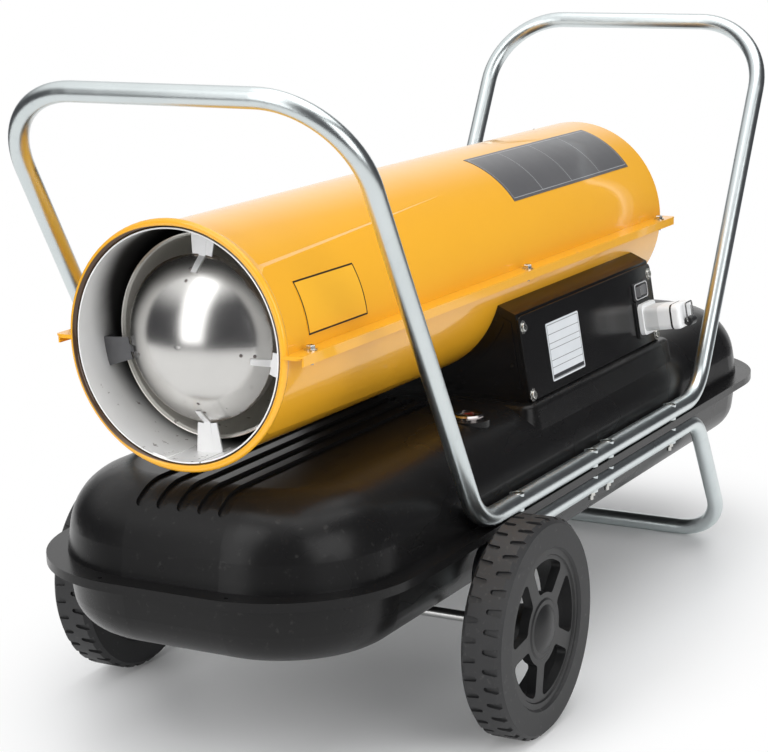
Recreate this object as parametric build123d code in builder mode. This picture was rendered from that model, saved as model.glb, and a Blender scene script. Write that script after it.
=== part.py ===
from build123d import *
from math import atan2, cos, degrees, hypot, radians, sin, sqrt, tan
import os

# A wheeled, oil-fired space heater: a two-part steel barrel with its burner, motor and fan,
# an electrical pedestal, a fuel tank in two halves, a tubular frame and two wheels.
# Millimetres. +Z is up, -Y is the hot-air outlet, +X is the control side.
# The origin is on the ground, under the middle of the tank.

os.makedirs("parts", exist_ok=True)

# ---------------------------------------------------------------- driving sizes

slip_gap = 0.1                  # round parts that slip together
pin_gap = 0.05                  # round pins that turn
overcut = 1.0                   # cuts run this far past a face

# fuel tank
tank_length = 1072.0            # over the flange
tank_width = 353.0              # over the flange
flange_corner = 128.0           # plan radius of the flange
flange_height = 177.5           # joint plane of the two halves
flange_sheet = 4.0              # each half's flange
side_ledge = 16.5               # flange beyond the body, at the sides
end_ledge = 19.5                # flange beyond the body, at the ends
tank_top = 256.0
tank_bottom = 114.0
tank_wall = 5.0
top_draft = 8.0
bottom_draft = 7.0
top_shoulder = 58.0
bottom_shoulder = 34.0
platform_width = 282.0          # raised flat that carries the pedestal
platform_overhang = 14.0        # platform beyond the pedestal, at each end
platform_corner = 30.0
platform_draft = 12.0
platform_edge = 6.0
groove_count = 5
groove_pitch = 20.5
groove_width = 11.0
groove_depth = 3.0
groove_front = -496.0
groove_rear = -120.0
eyelet_spread = 126.0           # two small holes at each end of the flange
eyelet_radius = 2.0

# filler, gauge, drain, pickup
filler_x = -100.0
filler_y = -170.0
neck_radius = 26.0
neck_wall = 3.0
neck_rise = 16.0
neck_drop = 14.0
neck_collar = 6.0
collar_sheet = 2.0
collar_slope = 1.0
strainer_depth = 70.0
strainer_sheet = 1.2
strainer_slots = 10
strainer_slot_width = 5.0
strainer_clear = 0.5
strainer_rim_clear = 0.2
strainer_sink = 0.3             # its rim below the neck's
cap_wall = 4.0
cap_height = 17.0
cap_ribs = 12
cap_rib_radius = 2.5
cap_rib_stop = 5.0              # ribs end this far below the cap's top
cap_clear = 0.5
cap_round = 3.0
cap_grip_width = 12.0
cap_grip_corner = 5.0
cap_grip_rise = 7.0
cap_grip_round = 2.5
seal_sheet = 2.0
gauge_x = 104.0
gauge_y = -166.0
gauge_radius = 15.5
gauge_seat = 6.0                # boss beyond the gauge, and beyond the filler's collar
gauge_rise = 4.5
gauge_face = 12.0               # radius of its dark dial
gauge_stem = 7.0
gauge_bevel = 1.5
dial_sheet = 1.5
needle_lift = 1.8
needle_hub = 4.5
needle_width = 2.0
needle_length = 12.0
needle_sheet = 0.8
fork_drop = 8.0                 # fork below and above the float arm's pin
fork_rise = 14.0
fork_width = 5.0
float_pivot = 185.0             # height of the float arm's pin
float_arm = 95.0
float_wire = 1.5
float_pin = 1.5
float_eye = 4.0
float_eye_width = 4.0
float_radius = 13.0
float_length = 34.0
float_round = 3.0
float_drop = 28.0               # arm below level when the tank is empty
drain_radius = 8.0
drain_head = 12.0
drain_head_height = 7.0
drain_pocket = 9.0              # the plug's head stands in a pocket in the tank's floor
drain_room = 4.0                # pocket round the head
drain_tail = 2.0                # thread beyond the tank's floor
hose_x = -75.0                  # fuel line, up through the pedestal into the barrel
hose_y = -66.0
hose_radius = 4.0
hose_bore = 2.5
hose_bend = 14.0
hose_burner_bend = 8.0
hose_clear = 2.0                # round it, where it passes a wall
hose_lift = 1.0                 # off the pickup's flange
pickup_radius = 4.5
pickup_flange = 14.0
pickup_sheet = 3.0
pickup_nipple = 12.0
pickup_bore = 1.5
pickup_clear = 8.0              # intake above the tank's floor

# tubular frame
tube_radius = 9.0
tube_wall = 1.5
rail_spread = 170.0             # each rail's distance from the middle plane
handle_middle = -6.5            # where the two handles butt
handle_reach = 272.7            # from the butt to the bend under each leg
handle_top_reach = 492.4        # from the butt to the crossbar
handle_height = 586.0           # crossbar centre
foot_bend = 56.0
grip_bend = 82.0
bolt_offsets = (-192.0, -20.0, 20.0, 192.0)     # from the butt
bolt_radius = 2.5
bolt_clearance = 0.25
bolt_head_radius = 4.75
bolt_head_height = 4.0
bolt_head_sink = 0.5            # head below the tube's outline
bolt_head_round = 1.2
bolt_socket = 2.0               # its hexagon, across corners from the middle, and its depth
bush_radius = 7.0               # solid post in a tube round each bolt
dimple_radius = 5.7
nut_width = 8.0
nut_height = 4.0
nut_flat = 0.8                  # depth of the flat that each nut bears on
bolt_tail = 4.5                 # thread below each nut
stand_bend_y = 265.5
stand_foot_y = 358.2
stand_bend = 48.0
stand_foot_bend = 54.0
leg_bend = 28.0

# wheels and axle
wheel_radius = 100.0
wheel_width = 38.4
wheel_gap = 17.7                # from the rail's outside to the wheel
axle_y = -273.35
axle_radius = 5.0
axle_clearance = 0.05
axle_tail = 2.0                 # beyond its clips
axle_bevel = 1.0
eye_radius = 13.0
eye_thickness = 6.0
eye_length = 26.0               # flattened end of each leg
spacer_radius = 9.0
wheel_play = 0.4
rim_radius = 72.0
rim_wall = 7.0
rim_inset = 2.5                 # rim edge inside the tyre's sides
web_recess = 4.0
web_thickness = 9.0
hub_radius = 26.0
hub_taper = 4.0                 # hub narrows to the inside, in two steps
hub_rise = 1.0                  # hub's face beyond the web
web_round = 2.0                 # slopes where the web meets the rim and the hub
tyre_shoulder = 5.0
tyre_bead = 2.0
lug_count = 36
lug_depth = 2.5
lug_length = 14.0
lug_root_width = 8.0
lug_tip_width = 4.6
spoke_count = 5
spoke_width = 15.0
spoke_phase = 44.0              # direction of the first spoke
window_inner = 33.0
window_inset = 2.5              # inside the rim's bore
window_corner = 5.0
clip_radius = 10.0
clip_sheet = 1.5
clip_pocket = 14.0              # radius of the pocket behind the hub cap
clip_pocket_depth = 14.0
hub_dome_radius = 22.0
hub_dome_rise = 6.0
hub_dome_wall = 3.0
hub_collar_wall = 2.5
hub_collar_depth = 5.0

# barrel
barrel_height = 379.0           # its axis, and the joint plane of its two shells
barrel_front = -494.0
barrel_length = 817.0
barrel_radius = 103.0
barrel_skin = 1.5
neck_in = 2.0                   # how much the front narrows between the cheeks
flare_length = 18.0
hem_radius = 3.3                # rolled edge at the outlet
hem_reach = 106.6               # outside of the rolled edge
cheek_radius = 104.6            # side panels, at the front
cheek_rear = -133.0             # where they run out
cheek_front_angle = 41.0        # their upper crease, above the joint plane
cheek_rear_angle = 53.0
cheek_corner = 20.0
cheek_arc = 75.0                # turned this far before the crease trims them
crease_lean = 10.0
ledge_reach = 121.0             # seam ledge, from the middle plane
ledge_sheet = 1.6
ledge_lip = 8.5
ledge_gap = 0.9
ledge_corner = 4.0
shell_screw_x = 113.0
shell_screw_inset = 29.0
shell_screw_middle = -51.0
shell_screw_radius = 2.1
shell_screw_head = 4.2
shell_flange_radius = 5.6
shell_flange_sheet = 1.2
shell_head_height = 3.2
shell_head_bevel = 0.6
shell_screw_length = 12.0
cross_length = 5.0              # cross recess of the screws
cross_width = 1.0
cross_depth = 1.4

# hot end
liner_radius = 98.9
liner_sheet = 1.2
liner_setback = 2.0
seam_angle = 253.5              # lap seam along the liner
seam_arc = 8.0
seam_lift = 0.2                 # how far the lap overlaps the liner's sheet
seam_inset = 1.0
seam_hole_turn = 5.0
seam_hole_radius = 1.3
seam_holes = (6.0, 11.0, 18.0, 60.0, 120.0, 180.0)      # from the liner's front
chamber_radius = 87.0
chamber_sheet = 1.2
chamber_setback = 50.0
chamber_flare = 1.5
chamber_flare_length = 2.5
back_plate_y = -150.0
back_plate_sheet = 2.0
back_plate_rim = 14.0
back_plate_clear = 0.3
outer_air_holes = 24
outer_air_hole = 3.2
inner_air_holes = 16
inner_air_hole = 4.0
inner_air_inset = 12.0
burner_hole = 41.0
dome_radius = 71.2
dome_setback = 38.0
dome_rise = 34.0
dome_sheet = 1.2
dome_skirt = 9.0
bracket_angles = (-12.0, 85.0, 191.0, 274.0)    # above +X
bracket_arc = 15.0
bracket_tongue_arc = 5.0
bracket_sheet = 1.5
bracket_foot = 12.0
bracket_tongue = 12.0
bracket_lift = 0.3              # tongue off the dome's curve, at its middle
bracket_clear = 1.0             # plate outside the dome's rim

# burner, motor, fan and pump
burner_radius = 45.0
burner_length = 66.0
burner_sheet = 1.5
burner_flange = 8.0
swirl_slots = 8
swirl_length = 13.0
swirl_width = 4.0
nozzle_radius = 7.0
nozzle_length = 30.0
nozzle_bevel = 3.0
nozzle_hex = 10.0               # its hexagon, across corners from the middle
nozzle_hex_height = 6.0
electrode_radius = 3.0
electrode_spread = 9.0
electrode_rise = 17.0
electrode_length = 46.0
electrode_tail = 10.0           # behind the burner head, and its pin in front
electrode_pin = 1.0
fan_rear = -22.0
fan_depth = 28.0
fan_radius = 92.0
fan_hub = 22.0
fan_blades = 6
fan_pitch = 32.0
fan_nose = 2.0                  # shaft beyond the fan's hub
fan_bevel = 3.0
blade_root = 3.0                # blades into the hub
blade_trim = 8.0
blade_corner = 10.0
blade_sheet = 2.0
motor_front = 4.0
motor_length = 104.0
motor_radius = 47.0
motor_round = 5.0
fin_count = 30
fin_depth = 6.0
fin_width = 2.0
fin_inset = 22.0                # from the motor's ends
shaft_radius = 6.0
shaft_clearance = 0.05
shaft_bevel = 1.0
shaft_end_gap = 0.5             # end play in the pump
mount_sheet = 3.0
mount_hub = 60.0
mount_arm = 16.0
mount_rim = 22.0
mount_arms = 4
mount_overlap = 12.0            # arms into the hub and the rim
mount_hole = 12.0               # round the shaft
pump_radius = 38.0
pump_length = 38.0
pump_bevel = 2.0
pump_bolts = 4
pump_bolt_inset = 6.0
pump_bolt_radius = 3.0
pump_bolt_height = 2.4
shaft_tail = 24.0               # hole for the shaft's end in the pump
filter_length = 20.0
filter_radius = 32.0
filter_folds = 24
fold_depth = 8.0
fold_width = 3.0
filter_cap_inset = 4.0
filter_cap = 2.0
guard_wire = 1.4
guard_spoke = 1.7
guard_rings = (22.0, 40.0, 58.0, 76.0, 94.0)
guard_angles = (118.0, 206.0, 294.0)            # its tabs; the first is in the upper shell
guard_setback = 6.0
guard_tab_length = 16.0
guard_tab_width = 12.0
guard_tab_sheet = 1.5
guard_screw_radius = 2.0
guard_screw_head = 4.0
guard_screw_height = 2.4
guard_screw_length = 5.0

# electrical pedestal and its cover
pedestal_front = -88.8
pedestal_length = 336.4
pedestal_wall = 3.0
cover_top_x = 120.5             # outside of the cover at its top edge
cover_bottom_x = 134.0
cover_top_z = 340.5
saddle_x = 98.8                 # where its roof meets the barrel
cover_sheet = 3.0
cover_gap = 0.5
cover_corner = 6.0
cover_border = 16.0             # frame left round the opening behind the cover
cover_screw_inset = 8.0         # from the cover's ends
cover_screw_rows = (-36.0, 31.0)                # up the cover from its middle
cover_screw_radius = 2.0
cover_screw_head = 4.4
cover_screw_height = 2.2
cover_screw_run = 2.0           # beyond the pedestal's wall
cover_screw_room = 6.0          # depth of its hole beyond the wall
cover_round = 1.2
emboss_inset = 8.5
emboss_width = 3.5
emboss_height = 1.0
switch_along = 209.0            # places on the cover: along Y, and up its face from its middle
switch_up = 17.5
switch_length = 37.0
switch_width = 20.0
switch_rim = 2.5
switch_rise = 2.0
switch_body = 16.0
switch_tilt = 18.0
switch_corner = 3.0
switch_round = 1.0
switch_fit = 0.2                # its box, smaller than the cover's opening
switch_wall = 1.5
rocker_end = 6.5                # its face above its pin, at the ends and in the middle
rocker_dip = 4.2
rocker_edge = 1.0
rocker_keel = 4.0               # its underside below the pin
rocker_pin_end = 0.8            # pin beyond the well's wall
rocker_gap = 0.4
rocker_swing = 0.9              # end clearance for its tilt
rocker_pin = 1.5
socket_along = 210.0
socket_up = -12.5
socket_length = 42.0
socket_width = 40.0
socket_sheet = 2.5
spout_length = 26.0             # collar that the plug slides over
spout_width = 20.0
spout_rise = 14.0
spout_wall = 2.0
socket_corner = 4.0
spout_corner = 3.0
spout_inner_corner = 1.5
hood_length = 36.0
hood_width = 26.0
hood_rise = 46.0
hood_corner = 6.0
hood_flange = 5.0               # thickness of its foot, and how much larger that is
hood_foot_length = 4.0
hood_foot_width = 7.5
hood_stand = 0.5                # its foot off the socket's plate
hood_round = 4.0
hood_depth = 20.0               # its hollow
hood_gap = 0.4
knob_radius = 5.0
knob_length = 14.0
knob_drop = 7.0                 # below the plug's middle
knob_round = 1.2
pin_radius = 1.6
pin_spread = (10.0, 6.0)
pin_depth = 3.0                 # pins end this far inside the collar
bail_wire = 0.9
bail_height = 20.0
bail_pin = 3.0
bail_bend = 2.0
plate_along = 6.0
plate_up = -4.0
plate_length = 78.0
plate_width = 58.0
plate_corner = 2.0

# inside the pedestal
board_x = 86.0
board_y = -18.0
board_width = 52.0
board_length = 86.0
board_sheet = 1.6
board_rise = 6.0
pillar_radius = 2.5
pillar_inset = 4.0              # from the board's edges
part_height = 14.0              # of what stands on the board
relay_x = 8.0                   # places on the board, from its middle
relay_places = (-22.0, -4.0)
relay_size = (16.0, 13.0)
capacitor_place = (6.0, 18.0)
capacitor_radius = 7.0
terminal_x = -15.0
terminal_size = (9.0, 48.0)
transformer_x = -96.0
transformer_y = 50.0
transformer_width = 40.0
transformer_length = 62.0
transformer_height = 38.0
transformer_corner = 4.0
foot_reach = 11.0               # its foot plate beyond it, at each end
foot_corner = 3.0
foot_sheet = 2.0
foot_hole_radius = 2.2
foot_hole_inset = 6.0

# bare label plates
label_sheet = 0.4
side_label = (-453.0, -353.0, 5.5, 31.5)        # front, rear, lower and upper angle
top_label = (-16.0, 276.0, 36.5, 75.0)

# ---------------------------------------------------------------- worked out

body_length = tank_length - 2 * end_ledge
body_width = tank_width - 2 * side_ledge
body_corner = flange_corner - side_ledge
drain_seat = tank_bottom + drain_pocket
upper_rail = flange_height + flange_sheet + tube_radius
lower_rail = flange_height - flange_sheet - tube_radius
tube_bore = tube_radius - tube_wall
nut_seat = lower_rail - tube_radius + nut_flat
wheel_inner = rail_spread + tube_radius + wheel_gap
wheel_outer = wheel_inner + wheel_width
wheel_middle = (wheel_inner + wheel_outer) / 2
barrel_rear = barrel_front + barrel_length
barrel_bore = barrel_radius - barrel_skin
pedestal_rear = pedestal_front + pedestal_length
pedestal_middle = (pedestal_front + pedestal_rear) / 2
cover_lean = atan2(cover_bottom_x - cover_top_x, cover_top_z - tank_top)
cover_height = hypot(cover_bottom_x - cover_top_x, cover_top_z - tank_top)
saddle_z = barrel_height - sqrt(barrel_radius**2 - saddle_x**2)
bolt_places = [
    (side * rail_spread, handle_middle + offset) for side in (-1, 1) for offset in bolt_offsets
]
screw_rows = (barrel_front + shell_screw_inset, shell_screw_middle, barrel_rear - shell_screw_inset)
screw_places = [(side * shell_screw_x, along) for side in (-1, 1) for along in screw_rows]

barrel_plane = Plane.XY.offset(barrel_height)
cover_plane = Plane(
    origin=((cover_top_x + cover_bottom_x) / 2, pedestal_middle, (cover_top_z + tank_top) / 2),
    x_dir=(0, 1, 0),
    z_dir=(cos(cover_lean), 0, sin(cover_lean)),
)


def cross_plane(y, z=barrel_height):
    """Upright plane across the heater, with x to +X; what it extrudes grows to the outlet"""
    return Plane(origin=(0, y, z), x_dir=(1, 0, 0), z_dir=(0, -1, 0))


def radial_plane(angle, y=0.0, radius=0.0):
    """Plane facing outwards from the barrel's axis, at an angle above +X, with x along +Y"""
    outwards = Vector(cos(radians(angle)), 0, sin(radians(angle)))
    return Plane(origin=Vector(0, y, barrel_height) + outwards * radius, x_dir=(0, 1, 0), z_dir=outwards)


def on_cover(along, up, out=0.0):
    """Plane on the cover's face, at a place given along Y and up from the cover's middle"""
    centre = cover_plane.from_local_coords((along - pedestal_middle, up, out))
    return Plane(origin=centre, x_dir=cover_plane.x_dir, z_dir=cover_plane.z_dir)


def sector(points, start=0.0, arc=360.0):
    """Solid turned about the barrel's axis from an angle above +X; points are (radius, y)"""
    facing = Vector(-sin(radians(start)), 0, cos(radians(start)))
    outwards = Vector(cos(radians(start)), 0, sin(radians(start)))
    with BuildPart() as piece:
        with BuildSketch(Plane(origin=(0, 0, barrel_height), x_dir=outwards, z_dir=facing)):
            with BuildLine():
                Polyline(*points, close=True)
            make_face()
        revolve(axis=Axis((0, 0, barrel_height), (0, -1, 0)), revolution_arc=arc)
    return piece.part


def turned(points, x=0.0, y=0.0):
    """Solid turned about an upright axis; points are (radius, z)"""
    with BuildPart() as piece:
        with BuildSketch(Plane(origin=(x, y, 0), x_dir=(1, 0, 0), z_dir=(0, -1, 0))):
            with BuildLine():
                Polyline(*points, close=True)
            make_face()
        revolve(axis=Axis((x, y, 0), (0, 0, 1)))
    return piece.part


def sheet(line, thickness):
    """Closed outline of a sheet: a line of (radius, y) points and the same line further in"""
    return line + [(radius - thickness, along) for radius, along in reversed(line)]


def save(part, name):
    """Name a finished piece and write it"""
    part.label = name
    export_step(part, f"parts/{name}.step")


# ---------------------------------------------------------------- fuel tank


def tank_form(top, inset):
    """Drafted, round-shouldered body above or below the flange plane, drawn in by inset"""
    height = (tank_top - flange_height) if top else (flange_height - tank_bottom)
    shoulder = top_shoulder if top else bottom_shoulder
    base = Plane(origin=(0, 0, flange_height), z_dir=(0, 0, 1 if top else -1))
    with BuildPart() as form:
        with BuildSketch(base):
            RectangleRounded(body_width - 2 * inset, body_length - 2 * inset, body_corner - inset)
        extrude(amount=height - inset, taper=top_draft if top else bottom_draft)
        fillet(form.edges().group_by(Axis.Z)[-1 if top else 0], shoulder - inset)
    return form.part


def platform_form(inset):
    """Raised flat under the pedestal, drawn in by inset"""
    height = tank_top - flange_height - inset
    spread = 2 * (height * tan(radians(platform_draft)) - inset)
    with BuildPart() as form:
        with BuildSketch(Plane.XY.offset(flange_height)):
            with Locations((0, pedestal_middle)):
                RectangleRounded(
                    platform_width + spread,
                    pedestal_length + 2 * platform_overhang + spread,
                    platform_corner,
                )
        extrude(amount=height, taper=platform_draft)
        fillet(form.edges().group_by(Axis.Z)[-1], platform_edge)
    return form.part


def flange(top):
    """One half's flange, with its holes for the frame bolts and its eyelets"""
    with BuildPart() as plate:
        with BuildSketch(Plane.XY.offset(flange_height if top else flange_height - flange_sheet)):
            RectangleRounded(tank_width, tank_length, flange_corner)
            RectangleRounded(
                body_width - 2 * tank_wall,
                body_length - 2 * tank_wall,
                body_corner - tank_wall,
                mode=Mode.SUBTRACT,
            )
            with Locations(*bolt_places):
                Circle(bolt_radius + bolt_clearance, mode=Mode.SUBTRACT)
            with GridLocations(eyelet_spread, tank_length - end_ledge, 2, 2):
                Circle(eyelet_radius, mode=Mode.SUBTRACT)
        extrude(amount=flange_sheet)
    return plate.part


# the skin that the pressed grooves take away
with BuildPart() as groove_band:
    add(tank_form(True, 0))
    add(tank_form(True, groove_depth), mode=Mode.SUBTRACT)
    with BuildSketch(Plane.XY.offset(flange_height)):
        with Locations((0, (groove_front + groove_rear) / 2)):
            with GridLocations(groove_pitch, 0, groove_count, 1):
                SlotOverall(groove_rear - groove_front, groove_width, rotation=90)
    extrude(amount=tank_top, mode=Mode.INTERSECT)

with BuildPart() as tank_upper:
    add(tank_form(True, 0))
    add(platform_form(0))
    with BuildSketch(Plane.XY.offset(flange_height)):
        with Locations((gauge_x, gauge_y)):
            Circle(gauge_radius + gauge_seat)
        with Locations((filler_x, filler_y)):
            Circle(neck_radius + neck_collar + gauge_seat)
    extrude(amount=tank_top - flange_height)
    add(groove_band.part, mode=Mode.SUBTRACT)
    add(tank_form(True, tank_wall), mode=Mode.SUBTRACT)
    add(platform_form(tank_wall), mode=Mode.SUBTRACT)
    add(flange(True))
    with BuildSketch(Plane.XY.offset(tank_top)):
        with Locations((filler_x, filler_y)):
            Circle(neck_radius)
        with Locations((gauge_x, gauge_y)):
            Circle(gauge_stem)
        with Locations((hose_x, hose_y)):
            Circle(pickup_radius)
    extrude(amount=-top_shoulder, mode=Mode.SUBTRACT)
save(tank_upper.part, "tank_upper")

with BuildPart() as tank_lower:
    add(tank_form(False, 0))
    add(tank_form(False, tank_wall), mode=Mode.SUBTRACT)
    add(flange(False))
    with BuildSketch(Plane.XY.offset(tank_bottom)):
        Circle(drain_head + drain_room + tank_wall)
    extrude(amount=drain_pocket + tank_wall)
    with BuildSketch(Plane.XY.offset(tank_bottom)):
        Circle(drain_head + drain_room)
    extrude(amount=drain_pocket, mode=Mode.SUBTRACT)
    with BuildSketch(Plane.XY.offset(drain_seat)):
        Circle(drain_radius)
    extrude(amount=tank_wall, mode=Mode.SUBTRACT)
save(tank_lower.part, "tank_lower")

# ---------------------------------------------------------------- filler, gauge, drain, pickup

neck_top = tank_top + neck_rise
strainer_step = strainer_sheet + strainer_sink
filler_neck = turned(
    [
        (neck_radius - neck_wall, tank_top - neck_drop),
        (neck_radius, tank_top - neck_drop),
        (neck_radius, tank_top),
        (neck_radius + neck_collar, tank_top),
        (neck_radius + neck_collar, tank_top + collar_sheet),
        (neck_radius, tank_top + collar_sheet + collar_slope),
        (neck_radius, neck_top),
        (neck_radius - neck_wall / 2, neck_top),
        (neck_radius - neck_wall / 2, neck_top - strainer_step),
        (neck_radius - neck_wall, neck_top - strainer_step),
    ],
    filler_x,
    filler_y,
)
save(filler_neck, "filler_neck")

strainer_radius = neck_radius - neck_wall - strainer_clear
strainer_rim = neck_radius - neck_wall / 2 - strainer_rim_clear
with BuildPart() as filler_strainer:
    add(
        turned(
            [
                (0, neck_top - strainer_depth),
                (strainer_radius, neck_top - strainer_depth),
                (strainer_radius, neck_top - strainer_step),
                (strainer_rim, neck_top - strainer_step),
                (strainer_rim, neck_top - strainer_step + strainer_sheet),
                (strainer_radius - strainer_sheet, neck_top - strainer_step + strainer_sheet),
                (strainer_radius - strainer_sheet, neck_top - strainer_depth + strainer_sheet),
                (0, neck_top - strainer_depth + strainer_sheet),
            ],
            filler_x,
            filler_y,
        )
    )
    slot_middle = neck_top - strainer_depth / 2 - neck_drop / 2
    turns = [radians(step * 360 / strainer_slots) for step in range(strainer_slots)]
    with BuildSketch(
        *[
            Plane(
                origin=(filler_x, filler_y, slot_middle),
                x_dir=(0, 0, 1),
                z_dir=(cos(turn), sin(turn), 0),
            )
            for turn in turns
        ]
    ):
        SlotOverall(strainer_depth / 2, strainer_slot_width)
    extrude(amount=strainer_radius + overcut, mode=Mode.SUBTRACT)
save(filler_strainer.part, "filler_strainer")

cap_bore = neck_radius + cap_clear
cap_radius = cap_bore + cap_wall
cap_floor = neck_top + seal_sheet
cap_foot = cap_floor + cap_wall - cap_height
with BuildPart() as cap_seal:
    with BuildSketch(Plane.XY.offset(neck_top)):
        with Locations((filler_x, filler_y)):
            Circle(neck_radius)
    extrude(amount=cap_floor - neck_top)
save(cap_seal.part, "cap_seal")

with BuildPart() as fuel_cap:
    with BuildSketch(Plane.XY.offset(cap_foot)):
        with Locations((filler_x, filler_y)):
            Circle(cap_radius)
    extrude(amount=cap_height)
    fillet(fuel_cap.edges().group_by(Axis.Z)[-1], cap_round)
    with BuildSketch(Plane.XY.offset(cap_foot)):
        with Locations((filler_x, filler_y)):
            with PolarLocations(cap_radius, cap_ribs):
                Circle(cap_rib_radius)
    extrude(amount=cap_height - cap_rib_stop)
    with BuildSketch(Plane.XY.offset(cap_floor + cap_wall)):
        with Locations((filler_x, filler_y)):
            RectangleRounded(2 * cap_radius - cap_grip_width, cap_grip_width, cap_grip_corner)
    extrude(amount=cap_grip_rise)
    fillet(fuel_cap.edges().group_by(Axis.Z)[-1], cap_grip_round)
    with BuildSketch(Plane.XY.offset(cap_foot)):
        with Locations((filler_x, filler_y)):
            Circle(cap_bore)
    extrude(amount=cap_height - cap_wall, mode=Mode.SUBTRACT)
save(fuel_cap.part, "fuel_cap")

gauge_top = tank_top + gauge_rise
gauge_bezel = turned(
    [
        (gauge_face, tank_top),
        (gauge_radius, tank_top),
        (gauge_radius, gauge_top - gauge_bevel),
        (gauge_radius - gauge_bevel, gauge_top),
        (gauge_face, gauge_top),
    ],
    gauge_x,
    gauge_y,
)
save(gauge_bezel, "gauge_bezel")

stem_radius = gauge_stem - slip_gap
stem_foot = float_pivot - fork_drop
with BuildPart() as gauge_body:
    with BuildSketch(Plane.XY.offset(tank_top)):
        with Locations((gauge_x, gauge_y)):
            Circle(gauge_face - slip_gap)
    extrude(amount=dial_sheet)
    with BuildSketch(Plane.XY.offset(stem_foot)):
        with Locations((gauge_x, gauge_y)):
            Circle(stem_radius)
    extrude(amount=tank_top - stem_foot)
    # fork for the float arm
    with BuildSketch(Plane.XY.offset(stem_foot)):
        with Locations((gauge_x, gauge_y)):
            Rectangle(fork_width, 4 * stem_radius)
    extrude(amount=fork_drop + fork_rise, mode=Mode.SUBTRACT)
    with BuildSketch(Plane(origin=(gauge_x, gauge_y, float_pivot), z_dir=(1, 0, 0))):
        Circle(float_pin)
    extrude(amount=stem_radius, both=True)
save(gauge_body.part, "gauge_body")

with BuildPart() as gauge_needle:
    with BuildSketch(Plane.XY.offset(tank_top + needle_lift)):
        with Locations((gauge_x, gauge_y)):
            Circle(needle_hub)
            with Locations((0, needle_length / 3)):
                Rectangle(needle_width, needle_length)
    extrude(amount=needle_sheet)
save(gauge_needle.part, "gauge_needle")

with BuildPart() as gauge_float:
    with BuildSketch(Plane(origin=(gauge_x, gauge_y, float_pivot), z_dir=(1, 0, 0))):
        Circle(float_eye)
        Circle(float_pin + pin_gap, mode=Mode.SUBTRACT)
    extrude(amount=float_eye_width / 2, both=True)
    with BuildSketch(Plane(origin=(gauge_x, gauge_y + 2 * float_pin, float_pivot), z_dir=(0, 1, 0))):
        Circle(float_wire)
    extrude(amount=float_arm - 2 * float_pin)
    with BuildSketch(Plane(origin=(gauge_x, gauge_y + float_arm, float_pivot), z_dir=(1, 0, 0))):
        Circle(float_radius)
    extrude(amount=float_length / 2, both=True)
    fillet(gauge_float.edges().filter_by(GeomType.CIRCLE).group_by(SortBy.RADIUS)[-1], float_round)
float_axis = Axis((gauge_x, gauge_y, float_pivot), (1, 0, 0))
save(gauge_float.part.rotate(float_axis, -float_drop), "gauge_float")

with BuildPart() as drain_plug:
    with BuildSketch(Plane.XY.offset(drain_seat)):
        RegularPolygon(drain_head, 6)
    extrude(amount=-drain_head_height)
    with BuildSketch(Plane.XY.offset(drain_seat)):
        Circle(drain_radius - slip_gap)
    extrude(amount=tank_wall + drain_tail)
save(drain_plug.part, "drain_plug")

pickup_base = tank_top + pedestal_wall
with BuildPart() as fuel_pickup:
    with BuildSketch(Plane.XY.offset(tank_bottom + tank_wall + pickup_clear)):
        with Locations((hose_x, hose_y)):
            Circle(pickup_radius - slip_gap)
    extrude(amount=pickup_base - tank_bottom - tank_wall - pickup_clear)
    with BuildSketch(Plane.XY.offset(pickup_base)):
        with Locations((hose_x, hose_y)):
            Circle(pickup_flange)
    extrude(amount=pickup_sheet)
    with BuildSketch(Plane.XY.offset(pickup_base + pickup_sheet)):
        with Locations((hose_x, hose_y)):
            Circle(hose_bore)
    extrude(amount=pickup_nipple)
    with BuildSketch(Plane.XY.offset(tank_bottom + tank_wall + pickup_clear)):
        with Locations((hose_x, hose_y)):
            Circle(pickup_bore)
    extrude(amount=tank_top, mode=Mode.SUBTRACT)
save(fuel_pickup.part, "fuel_pickup")

# ---------------------------------------------------------------- tubular frame


def posts(places, middle):
    """Solid posts that fill a rail round each frame bolt"""
    with BuildPart() as group:
        with BuildSketch(Plane.XY.offset(middle)):
            with Locations(*places):
                Circle(bush_radius)
        extrude(amount=tube_radius - tube_wall / 2, both=True)
    return group.part


def handle(sign):
    """Carrying handle, to the outlet (-1) or to the rear (1) of the butt joint"""
    foot_y = handle_middle + sign * handle_reach
    grip_y = handle_middle + sign * handle_top_reach
    places = [place for place in bolt_places if sign * (place[1] - handle_middle) > 0]
    with BuildPart() as tube:
        with BuildLine() as path:
            FilletPolyline(
                (-rail_spread, handle_middle, upper_rail),
                (-rail_spread, foot_y, upper_rail),
                (-rail_spread, grip_y, handle_height),
                (rail_spread, grip_y, handle_height),
                (rail_spread, foot_y, upper_rail),
                (rail_spread, handle_middle, upper_rail),
                radius=[foot_bend, grip_bend, grip_bend, foot_bend],
            )
        with BuildSketch(Plane(origin=path.line @ 0, z_dir=path.line % 0)):
            Circle(tube_radius)
            Circle(tube_bore, mode=Mode.SUBTRACT)
        sweep()
        add(posts(places, upper_rail))
        with BuildSketch(Plane.XY.offset(upper_rail)):
            with Locations(*places):
                Circle(bolt_radius + bolt_clearance)
        extrude(amount=tube_radius, both=True, mode=Mode.SUBTRACT)
        with BuildSketch(Plane.XY.offset(upper_rail + tube_radius - bolt_head_height)):
            with Locations(*places):
                Circle(dimple_radius)
        extrude(amount=bolt_head_height, mode=Mode.SUBTRACT)
    return tube.part


save(handle(-1), "front_handle")
save(handle(1), "rear_handle")

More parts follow.
